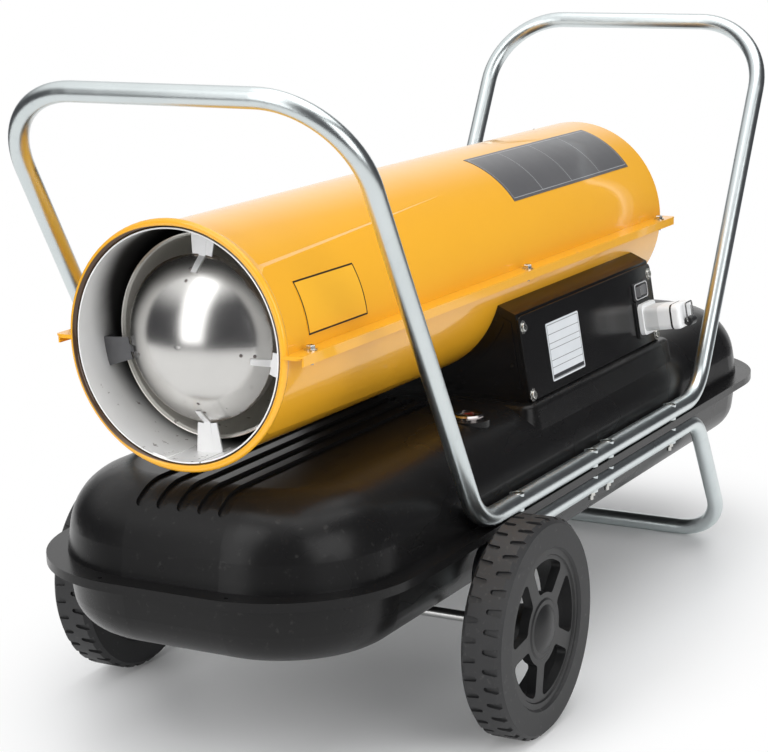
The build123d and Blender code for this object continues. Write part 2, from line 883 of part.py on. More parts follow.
# the legs' flattened eyes take the axle; the tube begins above them
eye_top = wheel_radius + eye_length
with BuildPart() as support_frame:
    with BuildLine() as stand_path:
        FilletPolyline(
            (-rail_spread, axle_y, eye_top),
            (-rail_spread, axle_y, lower_rail),
            (-rail_spread, stand_bend_y, lower_rail),
            (-rail_spread, stand_foot_y, tube_radius),
            (rail_spread, stand_foot_y, tube_radius),
            (rail_spread, stand_bend_y, lower_rail),
            (rail_spread, axle_y, lower_rail),
            (rail_spread, axle_y, eye_top),
            radius=[leg_bend, stand_bend, stand_foot_bend, stand_foot_bend, stand_bend, leg_bend],
        )
    with BuildSketch(Plane(origin=stand_path.line @ 0, z_dir=stand_path.line % 0)):
        Circle(tube_radius)
        Circle(tube_bore, mode=Mode.SUBTRACT)
    sweep()
    for side in (-1, 1):
        with BuildSketch(Plane(origin=(side * rail_spread, axle_y, eye_top))):
            Circle(tube_radius)
        with BuildSketch(Plane(origin=(side * rail_spread, axle_y, wheel_radius + eye_radius))):
            RectangleRounded(eye_thickness, 2 * eye_radius, eye_thickness / 2 - slip_gap)
        loft()
        with BuildSketch(Plane(origin=(side * rail_spread, axle_y, wheel_radius), z_dir=(1, 0, 0))):
            Circle(eye_radius)
            with Locations((0, eye_radius / 2)):
                Rectangle(2 * eye_radius, eye_radius)
        extrude(amount=eye_thickness / 2, both=True)
    with BuildSketch(Plane(origin=(0, axle_y, wheel_radius), z_dir=(1, 0, 0))):
        Circle(axle_radius + axle_clearance)
    extrude(amount=rail_spread + eye_thickness, both=True, mode=Mode.SUBTRACT)
    add(posts(bolt_places, lower_rail))
    with BuildSketch(Plane.XY.offset(lower_rail)):
        with Locations(*bolt_places):
            Circle(bolt_radius + bolt_clearance)
    extrude(amount=tube_radius, both=True, mode=Mode.SUBTRACT)
    with BuildSketch(Plane.XY.offset(nut_seat)):
        with Locations(*bolt_places):
            Circle(dimple_radius)
    extrude(amount=-nut_flat, mode=Mode.SUBTRACT)
save(support_frame.part, "support_frame")

bolt_seat = upper_rail + tube_radius - bolt_head_height
bolt_end = nut_seat - nut_height - bolt_tail
with BuildPart() as frame_bolts:
    with BuildSketch(Plane.XY.offset(bolt_seat)):
        with Locations(*bolt_places):
            Circle(bolt_head_radius)
    extrude(amount=bolt_head_height - bolt_head_sink)
    fillet(frame_bolts.edges().group_by(Axis.Z)[-1], bolt_head_round)
    with BuildSketch(Plane.XY.offset(bolt_end)):
        with Locations(*bolt_places):
            Circle(bolt_radius)
    extrude(amount=bolt_seat - bolt_end)
    with BuildSketch(Plane.XY.offset(bolt_seat + bolt_head_height - bolt_head_sink)):
        with Locations(*bolt_places):
            RegularPolygon(bolt_socket, 6)
    extrude(amount=-bolt_socket, mode=Mode.SUBTRACT)
save(frame_bolts.part, "frame_bolts")

with BuildPart() as frame_nuts:
    with BuildSketch(Plane.XY.offset(nut_seat)):
        with Locations(*bolt_places):
            RegularPolygon(nut_width / 2, 6, major_radius=False)
            Circle(bolt_radius, mode=Mode.SUBTRACT)
    extrude(amount=-nut_height)
save(frame_nuts.part, "frame_nuts")

# ---------------------------------------------------------------- wheels and axle

clip_seat = wheel_outer - clip_pocket_depth
axle_end = clip_seat + 2 * clip_sheet + axle_tail
with BuildPart() as axle:
    with BuildSketch(Plane(origin=(0, axle_y, wheel_radius), z_dir=(1, 0, 0))):
        Circle(axle_radius)
    extrude(amount=axle_end, both=True)
    chamfer(axle.edges().group_by(Axis.X)[0] + axle.edges().group_by(Axis.X)[-1], axle_bevel)
save(axle.part, "axle")

spacer_length = wheel_inner - wheel_play - rail_spread - eye_thickness / 2
with BuildPart() as axle_spacers:
    for side in (-1, 1):
        start = side * (rail_spread + eye_thickness / 2)
        with BuildSketch(Plane(origin=(start, axle_y, wheel_radius), z_dir=(side, 0, 0))):
            Circle(spacer_radius)
            Circle(axle_radius + axle_clearance, mode=Mode.SUBTRACT)
        extrude(amount=spacer_length)
save(axle_spacers.part, "axle_spacers")

with BuildPart() as axle_clips:
    for side in (-1, 1):
        start = side * (clip_seat + wheel_play)
        with BuildSketch(Plane(origin=(start, axle_y, wheel_radius), z_dir=(side, 0, 0))):
            Circle(clip_radius)
            Circle(axle_radius, mode=Mode.SUBTRACT)
        extrude(amount=clip_sheet)
save(axle_clips.part, "axle_clips")


def turned_on_axle(points):
    """Solid turned about the axle; points are (x, radius)"""
    with BuildPart() as piece:
        with BuildSketch(Plane(origin=(0, axle_y, wheel_radius), x_dir=(1, 0, 0), z_dir=(0, -1, 0))):
            with BuildLine():
                Polyline(*points, close=True)
            make_face()
        revolve(axis=Axis((0, axle_y, wheel_radius), (1, 0, 0)))
    return piece.part


rim_bore = rim_radius - rim_wall
web_face = wheel_outer - web_recess
with BuildPart() as right_wheel:
    add(
        turned_on_axle(
            [
                (wheel_inner, axle_radius + axle_clearance),
                (wheel_inner, hub_radius - 2 * hub_taper),
                (web_face - web_thickness, hub_radius - hub_taper),
                (web_face - web_thickness, rim_bore - web_round),
                (wheel_inner + rim_inset, rim_bore),
                (wheel_inner + rim_inset, rim_radius),
                (wheel_outer - rim_inset, rim_radius),
                (wheel_outer - rim_inset, rim_bore + web_round),
                (web_face, rim_bore + web_round / 2),
                (web_face, hub_radius + web_round),
                (web_face + hub_rise, hub_radius),
                (web_face + hub_rise, clip_pocket),
                (clip_seat, clip_pocket),
                (clip_seat, axle_radius + axle_clearance),
            ]
        )
    )
    # windows between the spokes
    window_plane = Plane(
        origin=(web_face + overcut, axle_y, wheel_radius), x_dir=(0, 1, 0), z_dir=(1, 0, 0)
    )
    with BuildSketch(window_plane):
        Circle(rim_bore - window_inset)
        Circle(window_inner, mode=Mode.SUBTRACT)
        for step in range(spoke_count):
            angle = spoke_phase + step * 360 / spoke_count
            with Locations(Rot(0, 0, angle) * Pos(rim_radius / 2, 0)):
                Rectangle(rim_radius, spoke_width, mode=Mode.SUBTRACT)
        fillet(vertices(), window_corner)
    extrude(amount=-(web_thickness + 2 * overcut), mode=Mode.SUBTRACT)
save(right_wheel.part, "right_wheel")

with BuildPart() as right_tyre:
    add(
        turned_on_axle(
            [
                (wheel_inner + rim_inset, rim_radius),
                (wheel_inner, rim_radius + tyre_bead),
                (wheel_inner, wheel_radius - tyre_shoulder),
                (wheel_inner + tyre_shoulder, wheel_radius),
                (wheel_outer - tyre_shoulder, wheel_radius),
                (wheel_outer, wheel_radius - tyre_shoulder),
                (wheel_outer, rim_radius + tyre_bead),
                (wheel_outer - rim_inset, rim_radius),
            ]
        )
    )
    # tread slots, open at the shoulders, staggered side to side
    for row in (-1, 1):
        turns = [(step + (row + 1) / 4) * 360 / lug_count for step in range(lug_count)]
        with BuildSketch(
            *[
                Plane(
                    origin=(
                        wheel_middle + row * wheel_width / 2,
                        axle_y + wheel_radius * cos(radians(turn)),
                        wheel_radius + wheel_radius * sin(radians(turn)),
                    ),
                    x_dir=(-row, 0, 0),
                    z_dir=(0, cos(radians(turn)), sin(radians(turn))),
                )
                for turn in turns
            ]
        ):
            with BuildLine():
                Polyline(
                    (-overcut, -lug_root_width / 2),
                    (lug_length, -lug_tip_width / 2),
                    (lug_length, lug_tip_width / 2),
                    (-overcut, lug_root_width / 2),
                    close=True,
                )
            make_face()
            with Locations((lug_length, 0)):
                Circle(lug_tip_width / 2)
        extrude(amount=-lug_depth, mode=Mode.SUBTRACT)
save(right_tyre.part, "right_tyre")

# domed cap, its collar pressed into the hub's pocket
dome_base = web_face + hub_rise
hub_sphere = (hub_dome_radius**2 + hub_dome_rise**2) / (2 * hub_dome_rise)
sphere_centre = dome_base + hub_dome_rise - hub_sphere
halfway_out = sphere_centre + sqrt(hub_sphere**2 - (hub_dome_radius / 2) ** 2)
with BuildPart() as right_hub_cap:
    with BuildSketch(Plane(origin=(0, axle_y, wheel_radius), x_dir=(1, 0, 0), z_dir=(0, -1, 0))):
        with BuildLine():
            dome_line = ThreePointArc(
                (dome_base, hub_dome_radius), (halfway_out, hub_dome_radius / 2), (dome_base + hub_dome_rise, 0)
            )
            Polyline(
                dome_line @ 1,
                (dome_base + hub_dome_wall, 0),
                (dome_base + hub_dome_wall, clip_pocket - hub_collar_wall),
                (dome_base - hub_collar_depth, clip_pocket - hub_collar_wall),
                (dome_base - hub_collar_depth, clip_pocket),
                (dome_base, clip_pocket),
                dome_line @ 0,
            )
        make_face()
    revolve(axis=Axis((0, axle_y, wheel_radius), (1, 0, 0)))
save(right_hub_cap.part, "right_hub_cap")

save(mirror(right_wheel.part, about=Plane.YZ), "left_wheel")
save(mirror(right_tyre.part, about=Plane.YZ), "left_tyre")
save(mirror(right_hub_cap.part, about=Plane.YZ), "left_hub_cap")

# ---------------------------------------------------------------- barrel

flare_y = barrel_front + flare_length
hem_y = barrel_front + hem_radius
core_line = [
    (hem_reach, hem_y),
    (barrel_radius - neck_in, flare_y),
    (barrel_radius, cheek_rear),
    (barrel_radius, barrel_rear),
]
core_outline = sheet(core_line, barrel_skin)
cheek_outline = [
    (hem_reach, hem_y),
    (cheek_radius, hem_y + hem_radius),
    (barrel_radius, cheek_rear),
    (barrel_bore, cheek_rear),
    (barrel_bore - neck_in, flare_y),
    (hem_reach - barrel_skin, hem_y),
]
inside_outline = [
    (0, barrel_front - overcut),
    (hem_reach - hem_radius, barrel_front - overcut),
    (hem_reach - barrel_skin, hem_y),
    (barrel_bore - neck_in, flare_y),
    (barrel_bore, cheek_rear),
    (barrel_bore, barrel_rear + overcut),
    (0, barrel_rear + overcut),
]


def cheek():
    """Raised side panel above the joint plane, on the +X side"""
    lean = radians(crease_lean)
    front_up = cheek_radius * sin(radians(cheek_front_angle) + lean)
    rear_up = barrel_radius * sin(radians(cheek_rear_angle) + lean)
    with BuildPart() as panel:
        add(sector(cheek_outline, 0, cheek_arc))
        leaning = Plane(
            origin=(0, 0, barrel_height), x_dir=(0, 1, 0), z_dir=(cos(lean), 0, -sin(lean))
        )
        with BuildSketch(leaning):
            with BuildLine():
                edge = FilletPolyline(
                    (barrel_front, -barrel_radius / 2),
                    (barrel_front, front_up),
                    (cheek_rear, rear_up),
                    radius=cheek_corner,
                )
                beyond = edge @ 1 + (edge % 1) * flare_length
                Polyline(edge @ 1, beyond, (beyond.X, -barrel_radius / 2), edge @ 0)
            make_face()
        extrude(amount=2 * barrel_radius, mode=Mode.INTERSECT)
    return panel.part


with BuildPart() as half_barrel:
    add(sector(core_outline, 0, 180))
    panel = cheek()
    add(panel)
    add(mirror(panel, about=Plane.YZ))
    # rolled edge round the outlet
    with BuildSketch(barrel_plane):
        with Locations((hem_reach - hem_radius, hem_y)):
            Circle(hem_radius)
    revolve(axis=Axis((0, 0, barrel_height), (0, -1, 0)), revolution_arc=180)

barrel_inside = sector(inside_outline)
guard_screw_y = barrel_rear - guard_setback - guard_tab_length / 2


def seam_ledge(reach, hole):
    """Flat flange along both sides of a shell, above the joint plane, with its screw holes"""
    with BuildPart() as ledge:
        with BuildSketch(barrel_plane):
            with Locations((0, (barrel_front + barrel_rear) / 2)):
                RectangleRounded(2 * reach, barrel_length, ledge_corner)
        extrude(amount=ledge_sheet)
        add(barrel_inside, mode=Mode.SUBTRACT)
        with BuildSketch(barrel_plane):
            with Locations(*screw_places):
                Circle(hole)
        extrude(amount=ledge_sheet, mode=Mode.SUBTRACT)
    return ledge.part


with BuildPart() as upper_shell:
    add(half_barrel.part)
    add(seam_ledge(ledge_reach, shell_screw_radius + bolt_clearance))
    # lip that hangs over the lower shell's flange
    with BuildSketch(barrel_plane.offset(ledge_sheet)):
        with Locations((0, (barrel_front + barrel_rear) / 2)):
            RectangleRounded(2 * ledge_reach, barrel_length, ledge_corner)
            Rectangle(2 * (ledge_reach - ledge_sheet), barrel_length + 2 * overcut, mode=Mode.SUBTRACT)
            Rectangle(4 * ledge_reach, barrel_length - 2 * ledge_corner, mode=Mode.INTERSECT)
    extrude(amount=-ledge_lip)
    with BuildSketch(*[radial_plane(angle, guard_screw_y) for angle in guard_angles[:1]]):
        Circle(guard_screw_radius + bolt_clearance)
    extrude(amount=2 * barrel_radius, mode=Mode.SUBTRACT)
save(upper_shell.part, "upper_shell")

with BuildPart() as lower_shell:
    add(mirror(half_barrel.part, about=barrel_plane))
    lower_ledge = seam_ledge(ledge_reach - ledge_sheet - ledge_gap, shell_screw_radius)
    add(mirror(lower_ledge, about=barrel_plane))
    with BuildSketch(*[radial_plane(angle, guard_screw_y) for angle in guard_angles[1:]]):
        Circle(guard_screw_radius + bolt_clearance)
    extrude(amount=2 * barrel_radius, mode=Mode.SUBTRACT)
    with BuildSketch(barrel_plane):
        with Locations((hose_x, hose_y)):
            Circle(hose_radius + hose_clear)
    extrude(amount=-barrel_radius, mode=Mode.SUBTRACT)
save(lower_shell.part, "lower_shell")

screw_seat = barrel_height + ledge_sheet
with BuildPart() as shell_screws:
    with BuildSketch(Plane.XY.offset(screw_seat)):
        with Locations(*screw_places):
            Circle(shell_flange_radius)
    extrude(amount=shell_flange_sheet)
    with BuildSketch(Plane.XY.offset(screw_seat + shell_flange_sheet)):
        with Locations(*screw_places):
            RegularPolygon(shell_screw_head, 6)
    extrude(amount=shell_head_height)
    chamfer(shell_screws.edges().group_by(Axis.Z)[-1], shell_head_bevel)
    with BuildSketch(Plane.XY.offset(screw_seat + shell_flange_sheet + shell_head_height)):
        with Locations(*screw_places):
            Rectangle(cross_width, cross_length)
            Rectangle(cross_length, cross_width)
    extrude(amount=-cross_depth, mode=Mode.SUBTRACT)
    with BuildSketch(Plane.XY.offset(screw_seat)):
        with Locations(*screw_places):
            Circle(shell_screw_radius)
    extrude(amount=-shell_screw_length)
save(shell_screws.part, "shell_screws")

# ---------------------------------------------------------------- hot end

liner_front = barrel_front + liner_setback
with BuildPart() as outlet_liner:
    add(sector(sheet([(liner_radius, liner_front), (liner_radius, back_plate_y)], liner_sheet)))
    # lap seam and its rivet holes along the bottom
    lap_reach = liner_radius - liner_sheet + seam_lift
    lap_line = [(lap_reach, liner_front + seam_inset), (lap_reach, back_plate_y)]
    add(sector(sheet(lap_line, liner_sheet), seam_angle, seam_arc))
    with BuildSketch(
        *[radial_plane(seam_angle + seam_hole_turn, liner_front + place) for place in seam_holes]
    ):
        Circle(seam_hole_radius)
    extrude(amount=2 * barrel_radius, mode=Mode.SUBTRACT)
save(outlet_liner.part, "outlet_liner")

chamber_front = barrel_front + chamber_setback
combustion_chamber = sector(
    sheet(
        [
            (chamber_radius + chamber_flare, chamber_front),
            (chamber_radius, chamber_front + chamber_flare_length),
            (chamber_radius, back_plate_y),
        ],
        chamber_sheet,
    )
)
save(combustion_chamber, "combustion_chamber")

# the plate that closes the chamber; its rim rests in the barrel
plate_neck = neck_in * (cheek_rear - back_plate_y) / (cheek_rear - flare_y)
plate_rim = barrel_bore - plate_neck - back_plate_clear
with BuildPart() as chamber_back_plate:
    add(
        sector(
            [
                (burner_hole, back_plate_y),
                (plate_rim, back_plate_y),
                (plate_rim, back_plate_y + back_plate_rim),
                (plate_rim - back_plate_sheet, back_plate_y + back_plate_rim),
                (plate_rim - back_plate_sheet, back_plate_y + back_plate_sheet),
                (burner_hole, back_plate_y + back_plate_sheet),
            ]
        )
    )
    # air passes to the gap between chamber and liner
    with BuildSketch(cross_plane(back_plate_y + back_plate_sheet)):
        with PolarLocations((chamber_radius + liner_radius - liner_sheet) / 2, outer_air_holes):
            Circle(outer_air_hole)
        with PolarLocations(chamber_radius - inner_air_inset, inner_air_holes):
            Circle(inner_air_hole)
    extrude(amount=back_plate_sheet, mode=Mode.SUBTRACT)
save(chamber_back_plate.part, "chamber_back_plate")

# domed baffle in the outlet, hollow, with a short skirt
dome_y = barrel_front + dome_setback
dome_sphere = (dome_radius**2 + dome_rise**2) / (2 * dome_rise)


def dome_front(radius, shrink=0.0):
    """Y of the dome's outside at a radius, or of its inside when the sphere shrinks"""
    return dome_y - dome_rise + dome_sphere - sqrt((dome_sphere - shrink) ** 2 - radius**2)


with BuildPart() as dome_baffle:
    with BuildSketch(barrel_plane):
        with BuildLine():
            inner, halfway = dome_radius - dome_sheet, dome_radius / 2
            ThreePointArc((0, dome_front(0)), (halfway, dome_front(halfway)), (dome_radius, dome_y))
            Line((dome_radius, dome_y), (dome_radius, dome_y + dome_skirt))
            Line((dome_radius, dome_y + dome_skirt), (inner, dome_y + dome_skirt))
            Line((inner, dome_y + dome_skirt), (inner, dome_front(inner, dome_sheet)))
            ThreePointArc(
                (inner, dome_front(inner, dome_sheet)),
                (halfway, dome_front(halfway, dome_sheet)),
                (0, dome_front(0, dome_sheet)),
            )
            Line((0, dome_front(0, dome_sheet)), (0, dome_front(0)))
        make_face()
    revolve(axis=Axis((0, 0, barrel_height), (0, -1, 0)))
save(dome_baffle.part, "dome_baffle")

# angle brackets that hold the dome in the liner
tongue_radii = (dome_radius - bracket_tongue, dome_radius - bracket_tongue / 2, dome_radius)
tongue_line = [(radius, dome_front(radius) - bracket_lift) for radius in tongue_radii]
bracket_reach = liner_radius - liner_sheet
bracket_face = [(dome_radius, dome_y), (bracket_reach, dome_y)]
with BuildPart() as baffle_brackets:
    for middle in bracket_angles:
        add(
            sector(
                [(radius, along - bracket_sheet) for radius, along in tongue_line + bracket_face[1:]]
                + list(reversed(tongue_line + bracket_face[1:])),
                middle - bracket_tongue_arc / 2,
                bracket_tongue_arc,
            )
        )
        add(
            sector(
                [
                    (dome_radius + bracket_clear, dome_y - bracket_sheet),
                    (bracket_reach, dome_y - bracket_sheet),
                    (bracket_reach, dome_y + bracket_foot),
                    (bracket_reach - bracket_sheet, dome_y + bracket_foot),
                    (bracket_reach - bracket_sheet, dome_y),
                    (dome_radius + bracket_clear, dome_y),
                ],
                middle - bracket_arc / 2,
                bracket_arc,
            )
        )
save(baffle_brackets.part, "baffle_brackets")

# ---------------------------------------------------------------- burner, motor, fan, pump

burner_y = back_plate_y + back_plate_sheet
burner_rear = burner_y + burner_length
with BuildPart() as burner_head:
    add(
        sector(
            [
                (burner_radius + burner_flange, burner_y),
                (burner_radius + burner_flange, burner_y + burner_sheet),
                (burner_radius, burner_y + burner_sheet),
                (burner_radius, burner_rear),
                (nozzle_radius, burner_rear),
                (nozzle_radius, burner_rear - burner_sheet),
                (burner_radius - burner_sheet, burner_rear - burner_sheet),
                (burner_radius - burner_sheet, burner_y),
            ]
        )
    )
    with BuildSketch(cross_plane(burner_rear)):
        with PolarLocations(burner_radius - swirl_length, swirl_slots, start_angle=180 / swirl_slots):
            SlotOverall(swirl_length, swirl_width)
        for side in (-1, 1):
            with Locations((side * electrode_spread, electrode_rise)):
                Circle(electrode_radius)
    extrude(amount=burner_sheet, mode=Mode.SUBTRACT)
save(burner_head.part, "burner_head")

with BuildPart() as nozzle:
    with BuildSketch(cross_plane(burner_rear)):
        Circle(nozzle_radius)
    extrude(amount=nozzle_length)
    chamfer(nozzle.edges().group_by(Axis.Y)[0], nozzle_bevel)
    with BuildSketch(cross_plane(burner_rear + nozzle_hex_height)):
        RegularPolygon(nozzle_hex, 6)
    extrude(amount=nozzle_hex_height)
    with BuildSketch(cross_plane(burner_rear + nozzle_hex_height)):
        Circle(hose_bore)
    extrude(amount=nozzle_length, mode=Mode.SUBTRACT)
save(nozzle.part, "nozzle")

with BuildPart() as ignition_electrodes:
    with BuildSketch(cross_plane(burner_rear + electrode_tail)):
        for side in (-1, 1):
            with Locations((side * electrode_spread, electrode_rise)):
                Circle(electrode_radius)
    extrude(amount=electrode_length)
    with BuildSketch(cross_plane(burner_rear + electrode_tail - electrode_length)):
        for side in (-1, 1):
            with Locations((side * electrode_spread, electrode_rise)):
                Circle(electrode_pin)
    extrude(amount=electrode_tail)
save(ignition_electrodes.part, "ignition_electrodes")

with BuildPart() as fuel_hose:
    hose_start = pickup_base + pickup_sheet + hose_lift
    with BuildLine() as hose_path:
        FilletPolyline(
            (hose_x, hose_y, hose_start),
            (hose_x, hose_y, barrel_height),
            (0, hose_y, barrel_height),
            (0, burner_rear + nozzle_hex_height, barrel_height),
            radius=[hose_bend, hose_burner_bend],
        )
    with BuildSketch(Plane(origin=hose_path.line @ 0, z_dir=hose_path.line % 0)):
        Circle(hose_radius)
        Circle(hose_bore, mode=Mode.SUBTRACT)
    sweep()
save(fuel_hose.part, "fuel_hose")

motor_rear = motor_front + motor_length
with BuildPart() as motor_body:
    with BuildSketch(cross_plane(motor_rear)):
        Circle(motor_radius)
        Circle(shaft_radius + shaft_clearance, mode=Mode.SUBTRACT)
    extrude(amount=motor_length)
    ends = motor_body.edges().filter_by(GeomType.CIRCLE).group_by(SortBy.RADIUS)[-1]
    fillet(ends, motor_round)
    with BuildSketch(cross_plane(motor_rear - fin_inset)):
        with PolarLocations(motor_radius, fin_count):
            Rectangle(fin_depth, fin_width)
    extrude(amount=motor_length - 2 * fin_inset)
save(motor_body.part, "motor_body")

with BuildPart() as motor_mount:
    with BuildSketch(cross_plane(motor_front)):
        Circle(mount_hub)
        with PolarLocations((mount_hub + barrel_bore) / 2, mount_arms, start_angle=180 / mount_arms):
            Rectangle(barrel_bore - mount_hub + mount_overlap, mount_arm)
        Circle(barrel_bore - mount_sheet / 2, mode=Mode.INTERSECT)
        Circle(mount_hole, mode=Mode.SUBTRACT)
    extrude(amount=mount_sheet)
    with BuildSketch(cross_plane(motor_front)):
        Circle(barrel_bore)
        Circle(barrel_bore - mount_sheet, mode=Mode.SUBTRACT)
    extrude(amount=mount_rim)
save(motor_mount.part, "motor_mount")

pump_y = motor_rear
with BuildPart() as motor_shaft:
    shaft_end = pump_y + shaft_tail - shaft_end_gap
    with BuildSketch(cross_plane(shaft_end)):
        Circle(shaft_radius)
    extrude(amount=shaft_end - fan_rear + fan_depth)
    chamfer(motor_shaft.edges().group_by(Axis.Y)[0], shaft_bevel)
save(motor_shaft.part, "motor_shaft")

with BuildPart() as fan:
    with BuildSketch(cross_plane(fan_rear)):
        Circle(fan_hub)
    extrude(amount=fan_depth - fan_nose)
    chamfer(fan.edges().group_by(Axis.Y)[0], fan_bevel)
    pitch = radians(fan_pitch)
    blades = []
    for step in range(fan_blades):
        angle = radians(step * 360 / fan_blades)
        across = Vector(-sin(angle), 0, cos(angle))
        blades.append(
            Plane(
                origin=(0, fan_rear - fan_depth / 2, barrel_height),
                x_dir=(cos(angle), 0, sin(angle)),
                z_dir=Vector(0, cos(pitch), 0) + across * sin(pitch),
            )
        )
    with BuildSketch(*blades):
        with Locations(((fan_radius + fan_hub) / 2 - blade_root, 0)):
            RectangleRounded(
                fan_radius - fan_hub + 2 * blade_root, fan_depth / sin(pitch) - blade_trim, blade_corner
            )
    extrude(amount=blade_sheet / 2, both=True)
    with BuildSketch(cross_plane(fan_rear)):
        Circle(shaft_radius)
    extrude(amount=fan_depth, mode=Mode.SUBTRACT)
save(fan.part, "fan")

with BuildPart() as air_pump:
    with BuildSketch(cross_plane(pump_y + pump_length)):
        Circle(pump_radius)
    extrude(amount=pump_length)
    chamfer(air_pump.edges().group_by(Axis.Y)[-1], pump_bevel)
    with BuildSketch(cross_plane(pump_y + pump_length)):
        with PolarLocations(pump_radius - pump_bolt_inset, pump_bolts, start_angle=180 / pump_bolts):
            Circle(pump_bolt_radius)
    extrude(amount=-pump_bolt_height)
    with BuildSketch(cross_plane(pump_y + shaft_tail)):
        Circle(shaft_radius + shaft_clearance)
    extrude(amount=shaft_tail, mode=Mode.SUBTRACT)
save(air_pump.part, "air_pump")

filter_y = pump_y + pump_length
with BuildPart() as air_filter:
    with BuildSketch(cross_plane(filter_y + filter_length)):
        Circle(filter_radius - fold_depth)
        with PolarLocations(filter_radius - fold_depth, filter_folds):
            Rectangle(fold_depth, fold_width)
    extrude(amount=filter_length)
    with BuildSketch(cross_plane(filter_y + filter_length)):
        Circle(filter_radius - filter_cap_inset)
    extrude(amount=filter_cap)
save(air_filter.part, "air_filter")

# wire guard over the air inlet
guard_y = barrel_rear - guard_setback
tab_reach = barrel_bore - slip_gap
tab_half = degrees(guard_tab_width / 2 / barrel_bore)
with BuildPart() as inlet_guard:
    with Locations(cross_plane(guard_y)):
        for radius in guard_rings:
            Torus(radius, guard_wire)
    # crossing wires, welded on behind the rings, each with a tab at one end
    wire_start = guard_rings[-1] + 2 * guard_wire
    for angle in guard_angles:
        with BuildSketch(radial_plane(angle, guard_y - guard_wire, -wire_start)):
            Circle(guard_spoke)
        extrude(amount=wire_start + tab_reach - guard_tab_sheet / 2)
    for angle in guard_angles:
        tab_line = [(tab_reach, guard_y - guard_tab_length), (tab_reach, guard_y + guard_wire)]
        add(sector(sheet(tab_line, guard_tab_sheet), angle - tab_half, 2 * tab_half))
    with BuildSketch(*[radial_plane(angle, guard_screw_y) for angle in guard_angles]):
        Circle(guard_screw_radius)
    extrude(amount=barrel_radius, mode=Mode.SUBTRACT)
save(inlet_guard.part, "inlet_guard")

with BuildPart() as guard_screws:
    with BuildSketch(*[radial_plane(angle, guard_screw_y, barrel_radius) for angle in guard_angles]):
        Circle(guard_screw_head)
    extrude(amount=guard_screw_height)
    with BuildSketch(*[radial_plane(angle, guard_screw_y, barrel_radius) for angle in guard_angles]):
        Circle(guard_screw_radius)
    extrude(amount=-guard_screw_length)
save(guard_screws.part, "guard_screws")

# ---------------------------------------------------------------- electrical pedestal


def pedestal_outline(inset, back):
    """Section under the barrel, drawn in by inset; back is how far the +X face stands back"""
    shift = back / cos(cover_lean)
    roof = (saddle_z - cover_top_z) / (cover_top_x - saddle_x)
    inwards = shift / (1 - roof * tan(cover_lean))
    with BuildSketch() as outline:
        with BuildLine():
            Polyline(
                (-cover_bottom_x, tank_top),
                (-cover_top_x, cover_top_z),
                (-saddle_x, saddle_z),
                (0, barrel_height),
                (saddle_x, saddle_z),
                (cover_top_x - inwards, cover_top_z + inwards * roof),
                (cover_bottom_x - shift, tank_top),
                close=True,
            )
        make_face()
        if inset:
            offset(amount=-inset, kind=Kind.INTERSECTION, mode=Mode.REPLACE)
        with Locations((0, barrel_height)):
            Circle(barrel_radius + inset, mode=Mode.SUBTRACT)
    return outline.sketch


with BuildPart() as control_pedestal:
    with BuildSketch(cross_plane(pedestal_rear, 0)):
        add(pedestal_outline(0, cover_sheet))
    extrude(amount=pedestal_length)
    # rounded border pressed in the end walls
    for end, facing in ((pedestal_front, -1), (pedestal_rear, 1)):
        with BuildSketch(Plane(origin=(0, end, 0), x_dir=(1, 0, 0), z_dir=(0, -1, 0))):
            add(pedestal_outline(emboss_inset, 0))
            add(pedestal_outline(emboss_inset + emboss_width, 0), mode=Mode.SUBTRACT)
        extrude(amount=-facing * emboss_height)
    with BuildSketch(cross_plane(pedestal_rear - pedestal_wall, 0)):
        add(pedestal_outline(pedestal_wall, cover_sheet))
    extrude(amount=pedestal_length - 2 * pedestal_wall, mode=Mode.SUBTRACT)
    # opening behind the cover, and the threaded holes of its screws
    cover_screw_places = [
        (end * (pedestal_length / 2 - cover_screw_inset), row)
        for end in (-1, 1)
        for row in cover_screw_rows
    ]
    with BuildSketch(cover_plane):
        RectangleRounded(
            pedestal_length - 2 * cover_border, cover_height - 2 * cover_border, cover_corner
        )
        with Locations(*cover_screw_places):
            Circle(cover_screw_radius)
    extrude(amount=-(cover_sheet + pedestal_wall + cover_screw_room), mode=Mode.SUBTRACT)
    # fuel line, through the floor and the saddle
    with BuildSketch(Plane.XY.offset(tank_top)):
        with Locations((hose_x, hose_y)):
            Circle(pickup_radius)
    extrude(amount=pedestal_wall, mode=Mode.SUBTRACT)
    with BuildSketch(Plane.XY.offset(cover_top_z - cover_height / 2)):
        with Locations((hose_x, hose_y)):
            Circle(hose_radius + hose_clear)
    extrude(amount=barrel_height, mode=Mode.SUBTRACT)
save(control_pedestal.part, "control_pedestal")

cover_axis = Axis(cover_plane.origin, cover_plane.z_dir)
with BuildPart() as control_cover:
    with BuildSketch(cover_plane):
        RectangleRounded(pedestal_length - 2 * cover_gap, cover_height - 2 * cover_gap, cover_corner)
    extrude(amount=-cover_sheet)
    fillet(control_cover.edges().group_by(cover_axis)[-1], cover_round)
    with BuildSketch(cover_plane):
        with Locations(*cover_screw_places):
            Circle(cover_screw_radius + bolt_clearance)
    extrude(amount=-cover_sheet, mode=Mode.SUBTRACT)
    with BuildSketch(on_cover(switch_along, switch_up)):
        Rectangle(switch_length - 2 * switch_rim, switch_width - 2 * switch_rim)
    extrude(amount=-cover_sheet, mode=Mode.SUBTRACT)
    with BuildSketch(on_cover(socket_along, socket_up)):
        Rectangle(spout_length - 2 * spout_wall, spout_width - 2 * spout_wall)
    extrude(amount=-cover_sheet, mode=Mode.SUBTRACT)
save(control_cover.part, "control_cover")

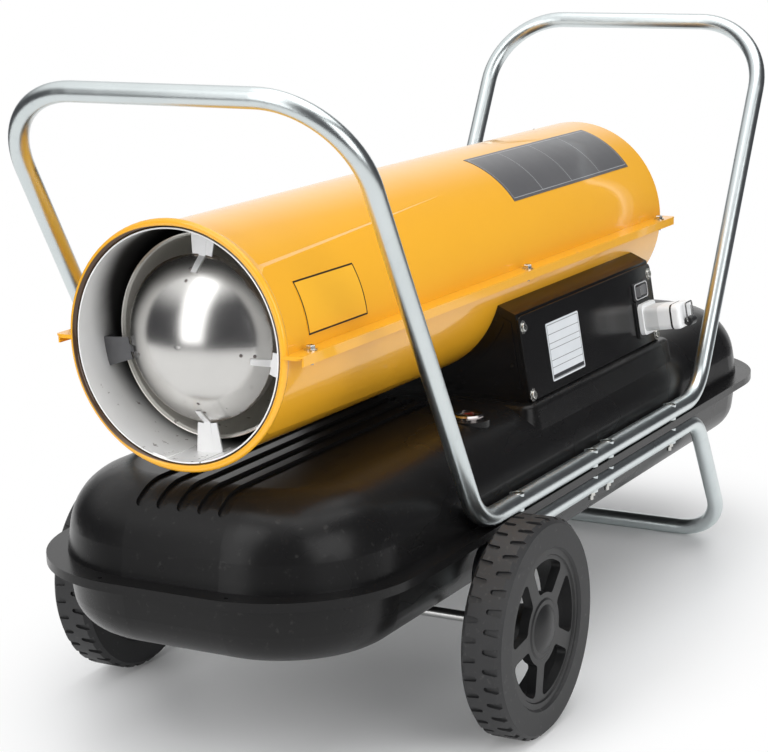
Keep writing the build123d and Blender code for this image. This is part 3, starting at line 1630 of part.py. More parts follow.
with BuildPart() as cover_screws:
    with BuildSketch(cover_plane):
        with Locations(*cover_screw_places):
            Circle(cover_screw_head)
    extrude(amount=cover_screw_height)
    fillet(cover_screws.edges().group_by(cover_axis)[-1], cover_round)
    with BuildSketch(cover_plane):
        with Locations(*cover_screw_places):
            Circle(cover_screw_radius)
    extrude(amount=-(cover_sheet + pedestal_wall + cover_screw_run))
    with BuildSketch(on_cover(pedestal_middle, 0, cover_screw_height)):
        with Locations(*cover_screw_places):
            Rectangle(cross_length, cross_width)
            Rectangle(cross_width, cross_length)
    extrude(amount=-cross_depth, mode=Mode.SUBTRACT)
save(cover_screws.part, "cover_screws")

# ---------------------------------------------------------------- switch and plug on the cover

switch_place = on_cover(switch_along, switch_up)
box_length = switch_length - 2 * switch_rim - switch_fit
box_width = switch_width - 2 * switch_rim - switch_fit
well_length = box_length - 2 * switch_wall
well_width = box_width - 2 * switch_wall
switch_axis = Axis(
    on_cover(switch_along, switch_up, -switch_rise).origin, Vector(cover_plane.y_dir)
)
with BuildPart() as switch_frame:
    with BuildSketch(switch_place):
        RectangleRounded(switch_length, switch_width, switch_corner)
    extrude(amount=switch_rise)
    fillet(switch_frame.edges().group_by(cover_axis)[-1], switch_round)
    with BuildSketch(switch_place):
        Rectangle(box_length, box_width)
    extrude(amount=-switch_body)
    with BuildSketch(on_cover(switch_along, switch_up, switch_rise)):
        Rectangle(well_length, well_width)
    extrude(amount=-switch_body, mode=Mode.SUBTRACT)
    with BuildSketch(Plane(origin=switch_axis.position, z_dir=switch_axis.direction)):
        Circle(rocker_pin + pin_gap)
    extrude(amount=well_width / 2 + rocker_pin_end + pin_gap, both=True, mode=Mode.SUBTRACT)
save(switch_frame.part, "switch_frame")

half_rocker = well_length / 2 - rocker_swing
with BuildPart() as switch_rocker:
    side_view = Plane(
        origin=switch_axis.position, x_dir=cover_plane.x_dir, z_dir=-Vector(cover_plane.y_dir)
    )
    with BuildSketch(side_view):
        with BuildLine():
            face = ThreePointArc((-half_rocker, rocker_end), (0, rocker_dip), (half_rocker, rocker_end))
            Polyline(
                face @ 1,
                (half_rocker, rocker_edge),
                (0, -rocker_keel),
                (-half_rocker, rocker_edge),
                face @ 0,
            )
        make_face()
    extrude(amount=well_width / 2 - rocker_gap, both=True)
    with BuildSketch(side_view):
        Circle(rocker_pin)
    extrude(amount=well_width / 2 + rocker_pin_end, both=True)
save(switch_rocker.part.rotate(switch_axis, switch_tilt / 2), "switch_rocker")

with BuildPart() as connector_base:
    with BuildSketch(on_cover(socket_along, socket_up)):
        RectangleRounded(socket_length, socket_width, socket_corner)
    extrude(amount=socket_sheet)
    with BuildSketch(on_cover(socket_along, socket_up, socket_sheet)):
        RectangleRounded(spout_length, spout_width, spout_corner)
        RectangleRounded(
            spout_length - 2 * spout_wall,
            spout_width - 2 * spout_wall,
            spout_inner_corner,
            mode=Mode.SUBTRACT,
        )
    extrude(amount=spout_rise)
    # contact pins
    with BuildSketch(on_cover(socket_along, socket_up)):
        with GridLocations(*pin_spread, 2, 2):
            Circle(pin_radius)
    extrude(amount=socket_sheet + spout_rise - pin_depth)
save(connector_base.part, "connector_base")

hood_out = socket_sheet + hood_stand
knob_up = socket_up - knob_drop
knob_out = hood_out + hood_rise + knob_radius
with BuildPart() as connector_hood:
    with BuildSketch(on_cover(socket_along, socket_up, hood_out)):
        RectangleRounded(hood_length, hood_width, hood_corner)
    extrude(amount=hood_rise)
    fillet(connector_hood.edges().group_by(cover_axis)[-1], hood_round)
    with BuildSketch(on_cover(socket_along, socket_up, hood_out)):
        RectangleRounded(hood_length + hood_foot_length, hood_width + hood_foot_width, hood_corner)
    extrude(amount=hood_flange)
    with BuildSketch(on_cover(socket_along, socket_up, hood_out)):
        RectangleRounded(
            spout_length + 2 * hood_gap, spout_width + 2 * hood_gap, spout_corner + hood_gap
        )
    extrude(amount=hood_depth, mode=Mode.SUBTRACT)
save(connector_hood.part, "connector_hood")

knob_plane = Plane(
    origin=on_cover(socket_along, knob_up, knob_out).origin,
    x_dir=cover_plane.y_dir,
    z_dir=cover_plane.x_dir,
)
with BuildPart() as connector_knob:
    with BuildSketch(knob_plane):
        Circle(knob_radius)
        with Locations((0, -knob_radius / 2)):
            Rectangle(knob_radius, knob_radius)
    extrude(amount=knob_length / 2, both=True)
    fillet(connector_knob.edges().filter_by(GeomType.CIRCLE), knob_round)
    with BuildSketch(knob_plane):
        Circle(bail_wire + pin_gap)
    extrude(amount=knob_length / 2, both=True, mode=Mode.SUBTRACT)
save(connector_knob.part, "connector_knob")

bail_half = knob_length / 2 + 2 * bail_wire
bail_plane = on_cover(socket_along, knob_up, knob_out)
with BuildPart() as connector_bail:
    with BuildLine(bail_plane) as bail_path:
        FilletPolyline(
            (bail_half - bail_pin - bail_wire, 0),
            (bail_half, 0),
            (bail_half, bail_height),
            (-bail_half, bail_height),
            (-bail_half, 0),
            (bail_pin + bail_wire - bail_half, 0),
            radius=bail_bend,
        )
    with BuildSketch(Plane(origin=bail_path.line @ 0, z_dir=bail_path.line % 0)):
        Circle(bail_wire)
    sweep()
save(connector_bail.part, "connector_bail")

# ---------------------------------------------------------------- inside the pedestal

pedestal_floor = tank_top + pedestal_wall
board_top = pedestal_floor + board_rise + board_sheet
with BuildPart() as control_board:
    with BuildSketch(Plane.XY.offset(pedestal_floor)):
        with Locations((board_x, board_y)):
            with GridLocations(board_width - 2 * pillar_inset, board_length - 2 * pillar_inset, 2, 2):
                Circle(pillar_radius)
    extrude(amount=board_rise)
    with BuildSketch(Plane.XY.offset(pedestal_floor + board_rise)):
        with Locations((board_x, board_y)):
            Rectangle(board_width, board_length)
    extrude(amount=board_sheet)
    # relays, capacitor and terminal row
    with BuildSketch(Plane.XY.offset(board_top)):
        with Locations((board_x, board_y)):
            with Locations(*[(relay_x, place) for place in relay_places]):
                Rectangle(*relay_size)
            with Locations(capacitor_place):
                Circle(capacitor_radius)
            with Locations((terminal_x, 0)):
                Rectangle(*terminal_size)
    extrude(amount=part_height)
save(control_board.part, "control_board")

with BuildPart() as ignition_transformer:
    with BuildSketch(Plane.XY.offset(pedestal_floor)):
        with Locations((transformer_x, transformer_y)):
            RectangleRounded(transformer_width, transformer_length + 2 * foot_reach, foot_corner)
            with GridLocations(
                transformer_width - 2 * foot_hole_inset,
                transformer_length + 2 * foot_reach - 2 * foot_hole_inset,
                2,
                2,
            ):
                Circle(foot_hole_radius, mode=Mode.SUBTRACT)
    extrude(amount=foot_sheet)
    with BuildSketch(Plane.XY.offset(pedestal_floor + foot_sheet)):
        with Locations((transformer_x, transformer_y)):
            RectangleRounded(transformer_width, transformer_length, transformer_corner)
    extrude(amount=transformer_height - foot_sheet)
save(ignition_transformer.part, "ignition_transformer")

# ---------------------------------------------------------------- bare label plates


def cheek_at(y):
    """Outside radius of the side panels at y"""
    start = hem_y + hem_radius
    return cheek_radius + (barrel_radius - cheek_radius) * (y - start) / (cheek_rear - start)


front, rear, low, high = side_label
side_line = [(cheek_at(front) + label_sheet, front), (cheek_at(rear) + label_sheet, rear)]
save(sector(sheet(side_line, label_sheet), low, high - low), "side_label_plate")

front, rear, low, high = top_label
top_line = [(barrel_radius + label_sheet, front), (barrel_radius + label_sheet, rear)]
save(sector(sheet(top_line, label_sheet), low, high - low), "top_label_plate")

with BuildPart() as rating_plate:
    with BuildSketch(on_cover(plate_along, plate_up)):
        RectangleRounded(plate_length, plate_width, plate_corner)
    extrude(amount=label_sheet)
save(rating_plate.part, "rating_plate")
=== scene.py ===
import math

import bpy
from mathutils import Matrix, Vector


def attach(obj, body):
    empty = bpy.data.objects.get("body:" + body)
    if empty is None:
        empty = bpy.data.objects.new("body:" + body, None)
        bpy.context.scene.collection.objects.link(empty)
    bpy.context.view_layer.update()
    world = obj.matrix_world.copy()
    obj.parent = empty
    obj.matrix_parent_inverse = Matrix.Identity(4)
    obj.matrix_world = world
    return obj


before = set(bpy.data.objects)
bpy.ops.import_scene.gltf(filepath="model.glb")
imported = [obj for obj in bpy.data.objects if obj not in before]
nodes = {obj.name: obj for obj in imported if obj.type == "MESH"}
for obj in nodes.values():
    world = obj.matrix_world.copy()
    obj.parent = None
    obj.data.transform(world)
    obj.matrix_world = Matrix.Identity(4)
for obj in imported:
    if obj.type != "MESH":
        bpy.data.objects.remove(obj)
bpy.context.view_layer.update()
scene = bpy.context.scene
scene.view_settings.view_transform = "Standard"

# ---------------------------------------------------------------- camera
# The photograph's view: a long lens, a little above the barrel, from the outlet end and
# the switch side.
focal_pixels, centre_x, centre_y = 2158.2, 419.3, 379.3
photo_width, photo_height, sensor_width = 768, 752, 36.0
yaw, pitch, roll = math.radians(28.0), math.radians(-12.8), math.radians(-0.9)
camera_spot, nearest_seen, farthest_seen = (0.9915, -1.9312, 0.7428), 0.1, 60.0

camera = bpy.data.objects.new("camera", bpy.data.cameras.new("camera"))
scene.collection.objects.link(camera)
scene.camera = camera
camera.data.sensor_width = sensor_width
camera.data.lens = sensor_width * focal_pixels / photo_width
camera.data.shift_x = (photo_width / 2 - centre_x) / photo_width
camera.data.shift_y = (centre_y - photo_height / 2) / photo_width
camera.data.clip_start, camera.data.clip_end = nearest_seen, farthest_seen
forward = Vector((
    -math.sin(yaw) * math.cos(pitch), math.cos(yaw) * math.cos(pitch), math.sin(pitch)
))
right = Vector((math.cos(yaw), math.sin(yaw), 0.0))
up = right.cross(forward)
tilted_right = right * math.cos(roll) + up * math.sin(roll)
tilted_up = up * math.cos(roll) - right * math.sin(roll)
turn = Matrix((tilted_right, tilted_up, -forward)).transposed()
camera.matrix_world = Matrix.Translation(camera_spot) @ turn.to_4x4()


# ---------------------------------------------------------------- floor, room and lamps
# A pale table top that runs out to white, with a white wall behind the heater and a dim
# room in front of it for the metal to mirror, under three soft lamps.
class Signal:
    """A value on its way through a tree of shader nodes, so that sums on it read as sums."""

    def __init__(self, tree, socket):
        self.tree, self.socket = tree, socket

    def maths(self, operation, first, second=0.0):
        return self.tree.add("ShaderNodeMath", {"operation": operation}, {0: first, 1: second})

    def __add__(self, other):
        return self.maths("ADD", self, other)

    def __sub__(self, other):
        return self.maths("SUBTRACT", self, other)

    def __rsub__(self, other):
        return self.maths("SUBTRACT", other, self)

    def __mul__(self, other):
        return self.maths("MULTIPLY", self, other)

    def __truediv__(self, other):
        return self.maths("DIVIDE", self, other)

    def __abs__(self):
        return self.maths("ABSOLUTE", self)

    __radd__ = __add__
    __rmul__ = __mul__

    def most(self, other):
        return self.maths("MAXIMUM", self, other)


class Tree:
    """A tree of shader nodes that is filled by plain calls."""

    def __init__(self, owner):
        owner.use_nodes = True
        self.nodes, self.links = owner.node_tree.nodes, owner.node_tree.links

    def add(self, kind, settings=None, sockets=None, output=0):
        """Adds one node: its settings come first, then the values or links of its sockets."""
        node = self.nodes.new(kind)
        for name, value in (settings or {}).items():
            setattr(node, name, value)
        for name, value in (sockets or {}).items():
            self.put(node.inputs[name], value)
        return Signal(self, node.outputs[output])

    def put(self, socket, value):
        if isinstance(value, Signal):
            self.links.new(value.socket, socket)
        elif socket.type == "RGBA" and len(value) == 3:
            socket.default_value = (*value, 1.0)
        else:
            socket.default_value = value

    def step(self, value, low, high):
        """Rises smoothly from 0 to 1 between low and high."""
        span = {0: value, 1: low, 2: high}
        return self.add("ShaderNodeMapRange", {"interpolation_type": "SMOOTHSTEP"}, span)

    def blend(self, factor, first, second):
        """The first colour where the factor is 0, and the second where it is 1."""
        colours = {0: factor, 6: first, 7: second}
        return self.add("ShaderNodeMix", {"data_type": "RGBA"}, colours, output=2)

    def vectors(self, operation, first, second, output=0):
        """Works on two vectors; output 1 is the answer where that is a number."""
        pair = {0: first, 1: second}
        return self.add("ShaderNodeVectorMath", {"operation": operation}, pair, output)

    def axes(self, vector):
        """The three numbers of a vector."""
        return [self.add("ShaderNodeSeparateXYZ", None, {0: vector}, axis) for axis in range(3)]

    def ray(self, kind):
        """1 for light rays of one kind: Camera, Glossy or Transmission."""
        return self.add("ShaderNodeLightPath", output=f"Is {kind} Ray")

    def shown(self):
        """1 for rays that show what they meet: straight, in a mirror or through glass."""
        return self.ray("Camera").most(self.ray("Glossy")).most(self.ray("Transmission"))


white, room_fill, dim_room = (1.0, 1.0, 1.0), (0.62, 0.63, 0.64), (0.055, 0.055, 0.06)
wall_side, wall_starts, wall_full = (-0.47, 0.88, 0.0), 0.74, 0.98
ceiling_slope, ceiling_starts, ceiling_full = 0.3, 0.45, 0.85
floor_sides, floor_radius = 96, 1.9
oval_stretch, fade_starts, fade_full = (1.6, 1.0, 1.0), 0.38, 0.70
table_low, table_high, table_roughness = (0.91, 0.91, 0.91), (0.95, 0.95, 0.95), 0.42

world = bpy.data.worlds.new("studio")
scene.world = world
room = Tree(world)
toward = room.add("ShaderNodeTexCoord", output="Generated")
facing_wall = room.vectors("DOT_PRODUCT", toward, wall_side, output=1)
across, _, upward = room.axes(toward)
behind = room.step(facing_wall, wall_starts, wall_full)
above = room.step(upward - across * ceiling_slope, ceiling_starts, ceiling_full)
mirrored = room.blend(behind.most(above), dim_room, white)
backdrop = room.blend(room.ray("Camera"), mirrored, white)
room_light = room.blend(room.shown(), room_fill, backdrop)
room.put(room.nodes["Background"].inputs["Color"], room_light)

bpy.ops.object.select_all(action="DESELECT")
bpy.ops.mesh.primitive_circle_add(vertices=floor_sides, radius=floor_radius, fill_type="NGON")
floor = bpy.context.object
floor.name = "floor"
table_top = bpy.data.materials.new("table_top")
floor.data.materials.append(table_top)
top = Tree(table_top)
place = top.add("ShaderNodeTexCoord", output="Object")
cloud = top.add("ShaderNodeTexNoise", None, {"Vector": place, "Scale": 1.3, "Detail": 3.0})
table_colour = top.blend(cloud, table_low, table_high)
matt = top.add(
    "ShaderNodeBsdfPrincipled", None,
    {"Base Color": table_colour, "Roughness": table_roughness},
)
glow = top.add("ShaderNodeEmission", None, {"Color": white, "Strength": 1.0})
oval = top.vectors("MULTIPLY", place, oval_stretch)
far = top.step(top.vectors("LENGTH", oval, (0, 0, 0), output=1), fade_starts, fade_full)
surface = top.add("ShaderNodeMixShader", None, {0: far * top.shown(), 1: matt, 2: glow})
top.put(top.nodes["Material Output"].inputs["Surface"], surface)


def lamp(name, spot, aim, width, depth, watts):
    """A soft box that the camera doesn't see, turned from its spot to its aim."""
    light = bpy.data.lights.new(name, "AREA")
    light.shape, light.size, light.size_y, light.energy = "RECTANGLE", width, depth, watts
    holder = bpy.data.objects.new(name, light)
    scene.collection.objects.link(holder)
    holder.location = spot
    holder.rotation_euler = (Vector(aim) - Vector(spot)).to_track_quat("-Z", "Y").to_euler()
    holder.visible_camera = False


lamp(
    "overhead", spot=(0.4, 0.0, 3.0), aim=(0.0, 0.0, 0.3), width=3.0, depth=3.0, watts=42.0
)
lamp(
    "by_the_outlet", spot=(-0.66, -2.75, 1.45), aim=(0.0, -0.45, 0.38),
    width=1.35, depth=3.3, watts=31.0,
)
lamp(
    "by_the_switch", spot=(2.7, -1.2, 1.35), aim=(0.0, -0.1, 0.35),
    width=2.0, depth=2.0, watts=30.0,
)


# ---------------------------------------------------------------- fuel tank
# Two pressed steel halves joined at the flange, in satin black powder coat with a fine
# skin; the drain plug under them is zinc-plated.
class Finish(Tree):
    """A procedural finish: one shader, with detail on its colour, roughness and relief."""

    def __init__(self, name, colour, roughness, **fixed):
        self.material = bpy.data.materials.new(name)
        super().__init__(self.material)
        self.material.diffuse_color = (*colour, 1.0)
        self.shader = self.nodes["Principled BSDF"]
        self.base = colour
        self.set(Base_Color=colour, Roughness=roughness, **fixed)
        self.place = self.add("ShaderNodeTexCoord", output="Object")

    def set(self, **sockets):
        """Fills the shader's sockets, named with _ for each space."""
        for name, value in sockets.items():
            self.put(self.shader.inputs[name.replace("_", " ")], value)

    def noise(self, scale, detail=3.0, stretch=None):
        """Grey clouds around 0.5, scale per metre, drawn out where stretch is below 1."""
        place = self.vectors("MULTIPLY", self.place, stretch) if stretch else self.place
        sockets = {"Vector": place, "Scale": scale, "Detail": detail}
        return self.add("ShaderNodeTexNoise", None, sockets)

    def shade(self, strength):
        """The finish's own colour, made darker or lighter."""
        return tuple(min(1.0, part * strength) for part in self.base)

    def relief(self, *layers):
        """Bumps, each a pattern and the height of its full range in metres."""
        millimetres = sum(pattern * (tall * 1000) for pattern, tall in layers)
        sockets = {"Strength": 1.0, "Distance": 0.001, "Height": millimetres}
        self.set(Normal=self.add("ShaderNodeBump", None, sockets))


def dress(finish, *names):
    """Gives CAD nodes their finish."""
    for name in names:
        for holder in nodes[name].material_slots:
            holder.material = finish.material


def skin(name, colour, roughness, grain, depth, vary=0.12, dust=0.0, **fixed):
    """Moulded or sprayed surface: clouded colour, uneven gloss, grain, faint rubs and dust."""
    cloud_size, rub_size, rub_stretch, dust_size = 7.0, 38.0, (1.0, 0.25, 1.0), 190.0
    cloud_dulls, rub_dulls, dust_colour = 0.14, 0.07, (0.30, 0.29, 0.27)
    finish = Finish(name, colour, roughness, **fixed)
    cloud, fine = finish.noise(cloud_size), finish.noise(grain, 2.0)
    rub = finish.step(finish.noise(rub_size, 5.0, rub_stretch), 0.62, 0.74)
    shaded = finish.blend(cloud, finish.shade(1 - vary), finish.shade(1 + vary))
    settled = finish.step(finish.noise(dust_size, 4.0), 0.60, 0.80) * dust
    finish.set(
        Base_Color=finish.blend(settled, shaded, dust_colour),
        Roughness=roughness + (cloud - 0.5) * cloud_dulls + rub * rub_dulls,
    )
    finish.relief((fine, depth), (cloud, depth * 2))
    return finish


def metal(name, colour, roughness, grain=260.0, depth=0.000004, stretch=None, cloudy=0.16):
    """Bare or plated metal: tinted clouds, and brush marks drawn out along the stretch."""
    cloud_size, cloud_dulls, brush_dulls = 16.0, 0.10, 0.12
    finish = Finish(name, colour, roughness, Metallic=1.0)
    cloud, brush = finish.noise(cloud_size), finish.noise(grain, 4.0, stretch)
    finish.set(
        Base_Color=finish.blend(cloud, finish.shade(1 - cloudy), finish.shade(1 + cloudy)),
        Roughness=roughness + (brush - 0.5) * brush_dulls + (cloud - 0.5) * cloud_dulls,
    )
    finish.relief((brush, depth))
    return finish


powder = skin(
    "black_powder_coat", (0.0085, 0.0083, 0.0085), 0.28, grain=900.0, depth=0.00002,
    dust=0.06, Specular_IOR_Level=0.22,
)
dress(powder, "tank_upper", "tank_lower")
hardware = metal("zinc_hardware", (0.64, 0.64, 0.61), 0.26, grain=700.0)
dress(hardware, "drain_plug")

# ---------------------------------------------------------------- filler and cap
# Pressed neck with a brass-coloured strainer, and a ribbed black plastic cap on a rubber
# ring.
dress(powder, "filler_neck")
strainer_brass = metal("strainer_brass", (0.60, 0.43, 0.17), 0.34, grain=500.0)
dress(strainer_brass, "filler_strainer")
black_plastic = skin(
    "black_plastic", (0.016, 0.016, 0.017), 0.42, grain=1500.0, depth=0.00003
)
dress(black_plastic, "fuel_cap")
rubber = skin(
    "seal_rubber", (0.020, 0.019, 0.018), 0.72, grain=700.0, depth=0.00005, dust=0.2
)
dress(rubber, "cap_seal")

# ---------------------------------------------------------------- fuel gauge
# A chromed ring snapped in the tank, a dark dial with printed marks, a red needle that
# the float turns, and a clear moulded lens over them.
gauge_x, gauge_y = 0.104, -0.166
dial_top, dial_radius = 0.2575, 0.0113
lens_low, lens_rise, lens_reach, lens_smooth = 0.25885, 0.0015, 0.0118, math.radians(40)
mark_length, mark_width, mark_height, mark_edge = 0.0024, 0.0008, 0.00015, 0.00005
mark_count, first_mark, mark_sweep = 9, -30.0, 240.0
main_mark_every, main_mark_widening = 4, 1.6

chrome = metal("chrome", (0.46, 0.42, 0.41), 0.16, grain=900.0, depth=0.000001)
dress(chrome, "gauge_bezel")
dial = skin("dial_black", (0.022, 0.018, 0.017), 0.38, grain=1800.0, depth=0.00001)
dress(dial, "gauge_body")
red = skin("signal_red", (0.42, 0.022, 0.014), 0.35, grain=1400.0, depth=0.00001)
dress(red, "gauge_needle")
float_plastic = skin("float_plastic", (0.52, 0.49, 0.40), 0.50, grain=1100.0, depth=0.00003)
dress(float_plastic, "gauge_float")


def settle(piece, name, finish, body):
    """Fixes a finished piece's place in its mesh, and gives it its name, finish and body."""
    bpy.ops.object.select_all(action="DESELECT")
    piece.select_set(True)
    bpy.context.view_layer.objects.active = piece
    bpy.ops.object.transform_apply(location=True, rotation=True, scale=True)
    piece.name = piece.data.name = name
    piece.data.materials.clear()
    piece.data.materials.append(finish.material)
    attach(piece, body)


def start(primitive, **sizes):
    """Adds a primitive with nothing else selected, and opens it for editing."""
    bpy.ops.object.select_all(action="DESELECT")
    getattr(bpy.ops.mesh, f"primitive_{primitive}_add")(**sizes)
    bpy.ops.object.mode_set(mode="EDIT")
    bpy.ops.mesh.select_all(action="SELECT")
    return bpy.context.object


def finish_with(piece, kind, **settings):
    """Applies one modifier to the piece, in object mode."""
    if piece.mode == "EDIT":
        bpy.ops.object.mode_set(mode="OBJECT")
    modifier = piece.modifiers.new(kind.lower(), kind)
    for name, value in settings.items():
        setattr(modifier, name, value)
    bpy.ops.object.modifier_apply(modifier=modifier.name)


def gather(pieces):
    """Joins like pieces into the first."""
    bpy.ops.object.select_all(action="DESELECT")
    for piece in pieces:
        piece.select_set(True)
    bpy.context.view_layer.objects.active = pieces[0]
    bpy.ops.object.join()
    return pieces[0]


lens_ball = (lens_reach**2 + lens_rise**2) / (2 * lens_rise)
lens = start(
    "uv_sphere", segments=48, ring_count=96, radius=lens_ball,
    location=(gauge_x, gauge_y, lens_low + lens_rise - lens_ball),
)
bpy.ops.mesh.bisect(
    plane_co=(gauge_x, gauge_y, lens_low), plane_no=(0, 0, 1), use_fill=True, clear_inner=True
)
bpy.ops.object.mode_set(mode="OBJECT")
bpy.ops.object.shade_smooth_by_angle(angle=lens_smooth)
clear = Finish("clear_lens", (0.92, 0.93, 0.93), 0.05, Transmission_Weight=1.0, IOR=1.18)
clear.set(Roughness=0.03 + clear.noise(300.0) * 0.08)
settle(lens, "gauge_lens", clear, "heater")

marks = []
for step in range(mark_count):
    angle = math.radians(first_mark + mark_sweep * step / (mark_count - 1))
    radius = dial_radius - mark_length / 2
    mark = start(
        "cube", size=1.0, rotation=(0, 0, angle),
        location=(gauge_x + radius * math.cos(angle), gauge_y + radius * math.sin(angle), dial_top),
    )
    bpy.ops.object.mode_set(mode="OBJECT")
    widening = main_mark_widening if step % main_mark_every == 0 else 1.0
    mark.scale = (mark_length, mark_width * widening, mark_height)
    bpy.ops.object.transform_apply(location=False, rotation=True, scale=True)
    finish_with(mark, "BEVEL", width=mark_edge, segments=2)
    marks.append(mark)
print_white = skin("printed_white", (0.72, 0.72, 0.70), 0.45, grain=1500.0, depth=0.00001)
settle(gather(marks), "gauge_marks", print_white, "heater")

# ---------------------------------------------------------------- fuel line
# A plated pickup tube in the tank's top, and an oil-proof rubber hose up to the burner.
dress(hardware, "fuel_pickup")
hose_rubber = skin("hose_rubber", (0.018, 0.018, 0.019), 0.60, grain=800.0, depth=0.00006)
dress(hose_rubber, "fuel_hose")

# ---------------------------------------------------------------- handles and stand
# Bent steel tube, bright zinc plate with a faint blue cast, drawn along its length;
# bolts and nuts plated the same way hold it to the flange.
zinc_low, zinc_high, zinc_fleck = (0.60, 0.655, 0.665), (0.74, 0.79, 0.79), (0.54, 0.59, 0.60)
tube = Finish("zinc_tube", (0.72, 0.75, 0.77), 0.26, Metallic=1.0)
cloud, fleck = tube.noise(11.0), tube.noise(85.0, 5.0)
drawn = tube.noise(900.0, 3.0, (1.0, 0.06, 0.06))
zinc = tube.blend(cloud, zinc_low, zinc_high)
tube.set(
    Base_Color=tube.blend(tube.step(fleck, 0.58, 0.76) * 0.3, zinc, zinc_fleck),
    Roughness=0.25 + cloud * 0.08 + tube.step(fleck, 0.52, 0.72) * 0.05,
)
tube.relief((drawn, 0.000002), (fleck, 0.000001))
dress(tube, "front_handle", "rear_handle", "support_frame")
dress(hardware, "frame_bolts", "frame_nuts")

# ---------------------------------------------------------------- axle
# Turned bright bar with spacers and pressed clips behind the hub caps.
turned_bar = metal("turned_axle", (0.66, 0.66, 0.65), 0.18, grain=1200.0, stretch=(0.1, 1.0, 1.0))
dress(turned_bar, "axle")
dress(hardware, "axle_spacers", "axle_clips")

# ---------------------------------------------------------------- wheels
# Moulded polypropylene wheels with a fine spark-eroded grain and domed caps, and solid
# rubber tyres a little greyer and duller, with road dust in their tread.
wheel_plastic = skin(
    "wheel_plastic", (0.0125, 0.0125, 0.013), 0.42, grain=1300.0, depth=0.00004,
    dust=0.06, Specular_IOR_Level=0.4,
)
dress(wheel_plastic, "left_wheel", "right_wheel", "left_hub_cap", "right_hub_cap")
tyre_rubber = skin(
    "tyre_rubber", (0.019, 0.019, 0.020), 0.56, grain=520.0, depth=0.00006,
    vary=0.18, dust=0.14,
)
dress(tyre_rubber, "left_tyre", "right_tyre")

# ---------------------------------------------------------------- barrel
# Two rolled steel half shells with pressed side panels, in glossy yellow oven enamel,
# held together by plated screws; the inner lip of the outlet's rolled edge, more so on
# its left, is coloured dark brown as painted shade.
barrel_height = 0.379
# Painted shade: these place a dark brown band on the rolled edge's inner lip, reaching further out
# on the left.
lip_shade_radius, lip_shade_edge = 0.1004, 0.0006
lip_shade_wider_left, lip_shade_left_span = 0.0028, 0.07
lip_shade_until, lip_shade_gone = -0.486, -0.480
yellow_low, yellow_high = (0.87, 0.41, 0.016), (0.91, 0.455, 0.023)
painted_shade_brown, speck_yellow = (0.060, 0.028, 0.010), (0.55, 0.26, 0.03)


def off_axis(finish):
    """Distance from the barrel's axis."""
    from_axis = finish.vectors("SUBTRACT", finish.place, (0, 0, barrel_height))
    sideways = finish.vectors("MULTIPLY", from_axis, (1, 0, 1))
    return finish.vectors("LENGTH", sideways, (0, 0, 0), output=1)


enamel = Finish(
    "yellow_enamel", (0.95, 0.47, 0.022), 0.34,
    Specular_IOR_Level=0.3, Coat_Weight=0.75, Coat_Roughness=0.07,
)
cloud, peel = enamel.noise(5.0), enamel.noise(330.0, 2.0)
speck = enamel.step(enamel.noise(520.0, 2.0), 0.74, 0.80)
x, y, _ = enamel.axes(enamel.place)
# Painted shade: the mask below colours the rolled edge's inner lip brown, wider on the left.
lip_shade_to = lip_shade_radius + enamel.step(0.0 - x, 0.0, lip_shade_left_span) * lip_shade_wider_left
painted_lip_shade = 1 - enamel.step(off_axis(enamel) - lip_shade_to, -lip_shade_edge, lip_shade_edge)
painted_lip_shade = painted_lip_shade * (1 - enamel.step(y, lip_shade_until, lip_shade_gone))
laid = enamel.blend(painted_lip_shade, enamel.blend(cloud, yellow_low, yellow_high), painted_shade_brown)
enamel.set(
    Base_Color=enamel.blend(speck * 0.35, laid, speck_yellow),
    Roughness=0.30 + cloud * 0.08 + enamel.noise(60.0) * 0.06,
)
enamel.relief((peel, 0.000012), (cloud, 0.00012))
dress(enamel, "upper_shell", "lower_shell")
dress(hardware, "shell_screws")

# ---------------------------------------------------------------- labels on the barrel
# Printed film, bare inside its border: a yellow one in a thin dark frame by the outlet, and
# a grey one with a pale frame and pale rules on top.
print_blur = 0.0002


def band(finish, value, low, high, blur):
    """1 between low and high, fading to 0 over the blur inside each end."""
    return finish.step(value, low, low + blur) * (1 - finish.step(value, high - blur, high))


def frame_of(finish, across, along, bounds, inset, width):
    """1 on a ruled line of that width, inset from the bounds (low, high, low, high)."""
    def inside(edge):
        low_a, high_a, low_b, high_b = bounds
        edge = edge - print_blur
        return (
            band(finish, across, low_a + edge, high_a - edge, 2 * print_blur)
            * band(finish, along, low_b + edge, high_b - edge, 2 * print_blur)
        )
    return inside(inset) - inside(inset + width)


def around(finish, radius):
    """Distance round the barrel from its +X side, on a surface of that radius, and Y."""
    x, y, z = finish.axes(finish.place)
    return x.maths("ARCTAN2", z - barrel_height, x) * radius, y


def rule(finish, value, at, width):
    """1 on a thin straight line where the value passes a place."""
    return 1 - finish.step(abs(value - at), width / 2, width / 2 + print_blur)


side_radius, side_lowest, side_highest = 0.1045, math.radians(5.5), math.radians(31.5)
side_front, side_back, side_inset, side_line = -0.453, -0.353, 0.0005, 0.0016
side_low, side_high, side_dark = (0.91, 0.455, 0.018), (0.96, 0.50, 0.024), (0.020, 0.014, 0.010)
side = Finish("side_label", (0.93, 0.47, 0.020), 0.36, Coat_Weight=0.5, Coat_Roughness=0.1)
girth, along = around(side, side_radius)
side_bounds = (side_radius * side_lowest, side_radius * side_highest, side_front, side_back)
printed = frame_of(side, girth, along, side_bounds, side_inset, side_line)
film = side.blend(side.noise(9.0), side_low, side_high)
side.set(
    Base_Color=side.blend(printed, film, side_dark),
    Roughness=0.32 + side.noise(70.0) * 0.1,
)
side.relief((printed, 0.00002), (side.noise(400.0), 0.000008))
dress(side, "side_label_plate")

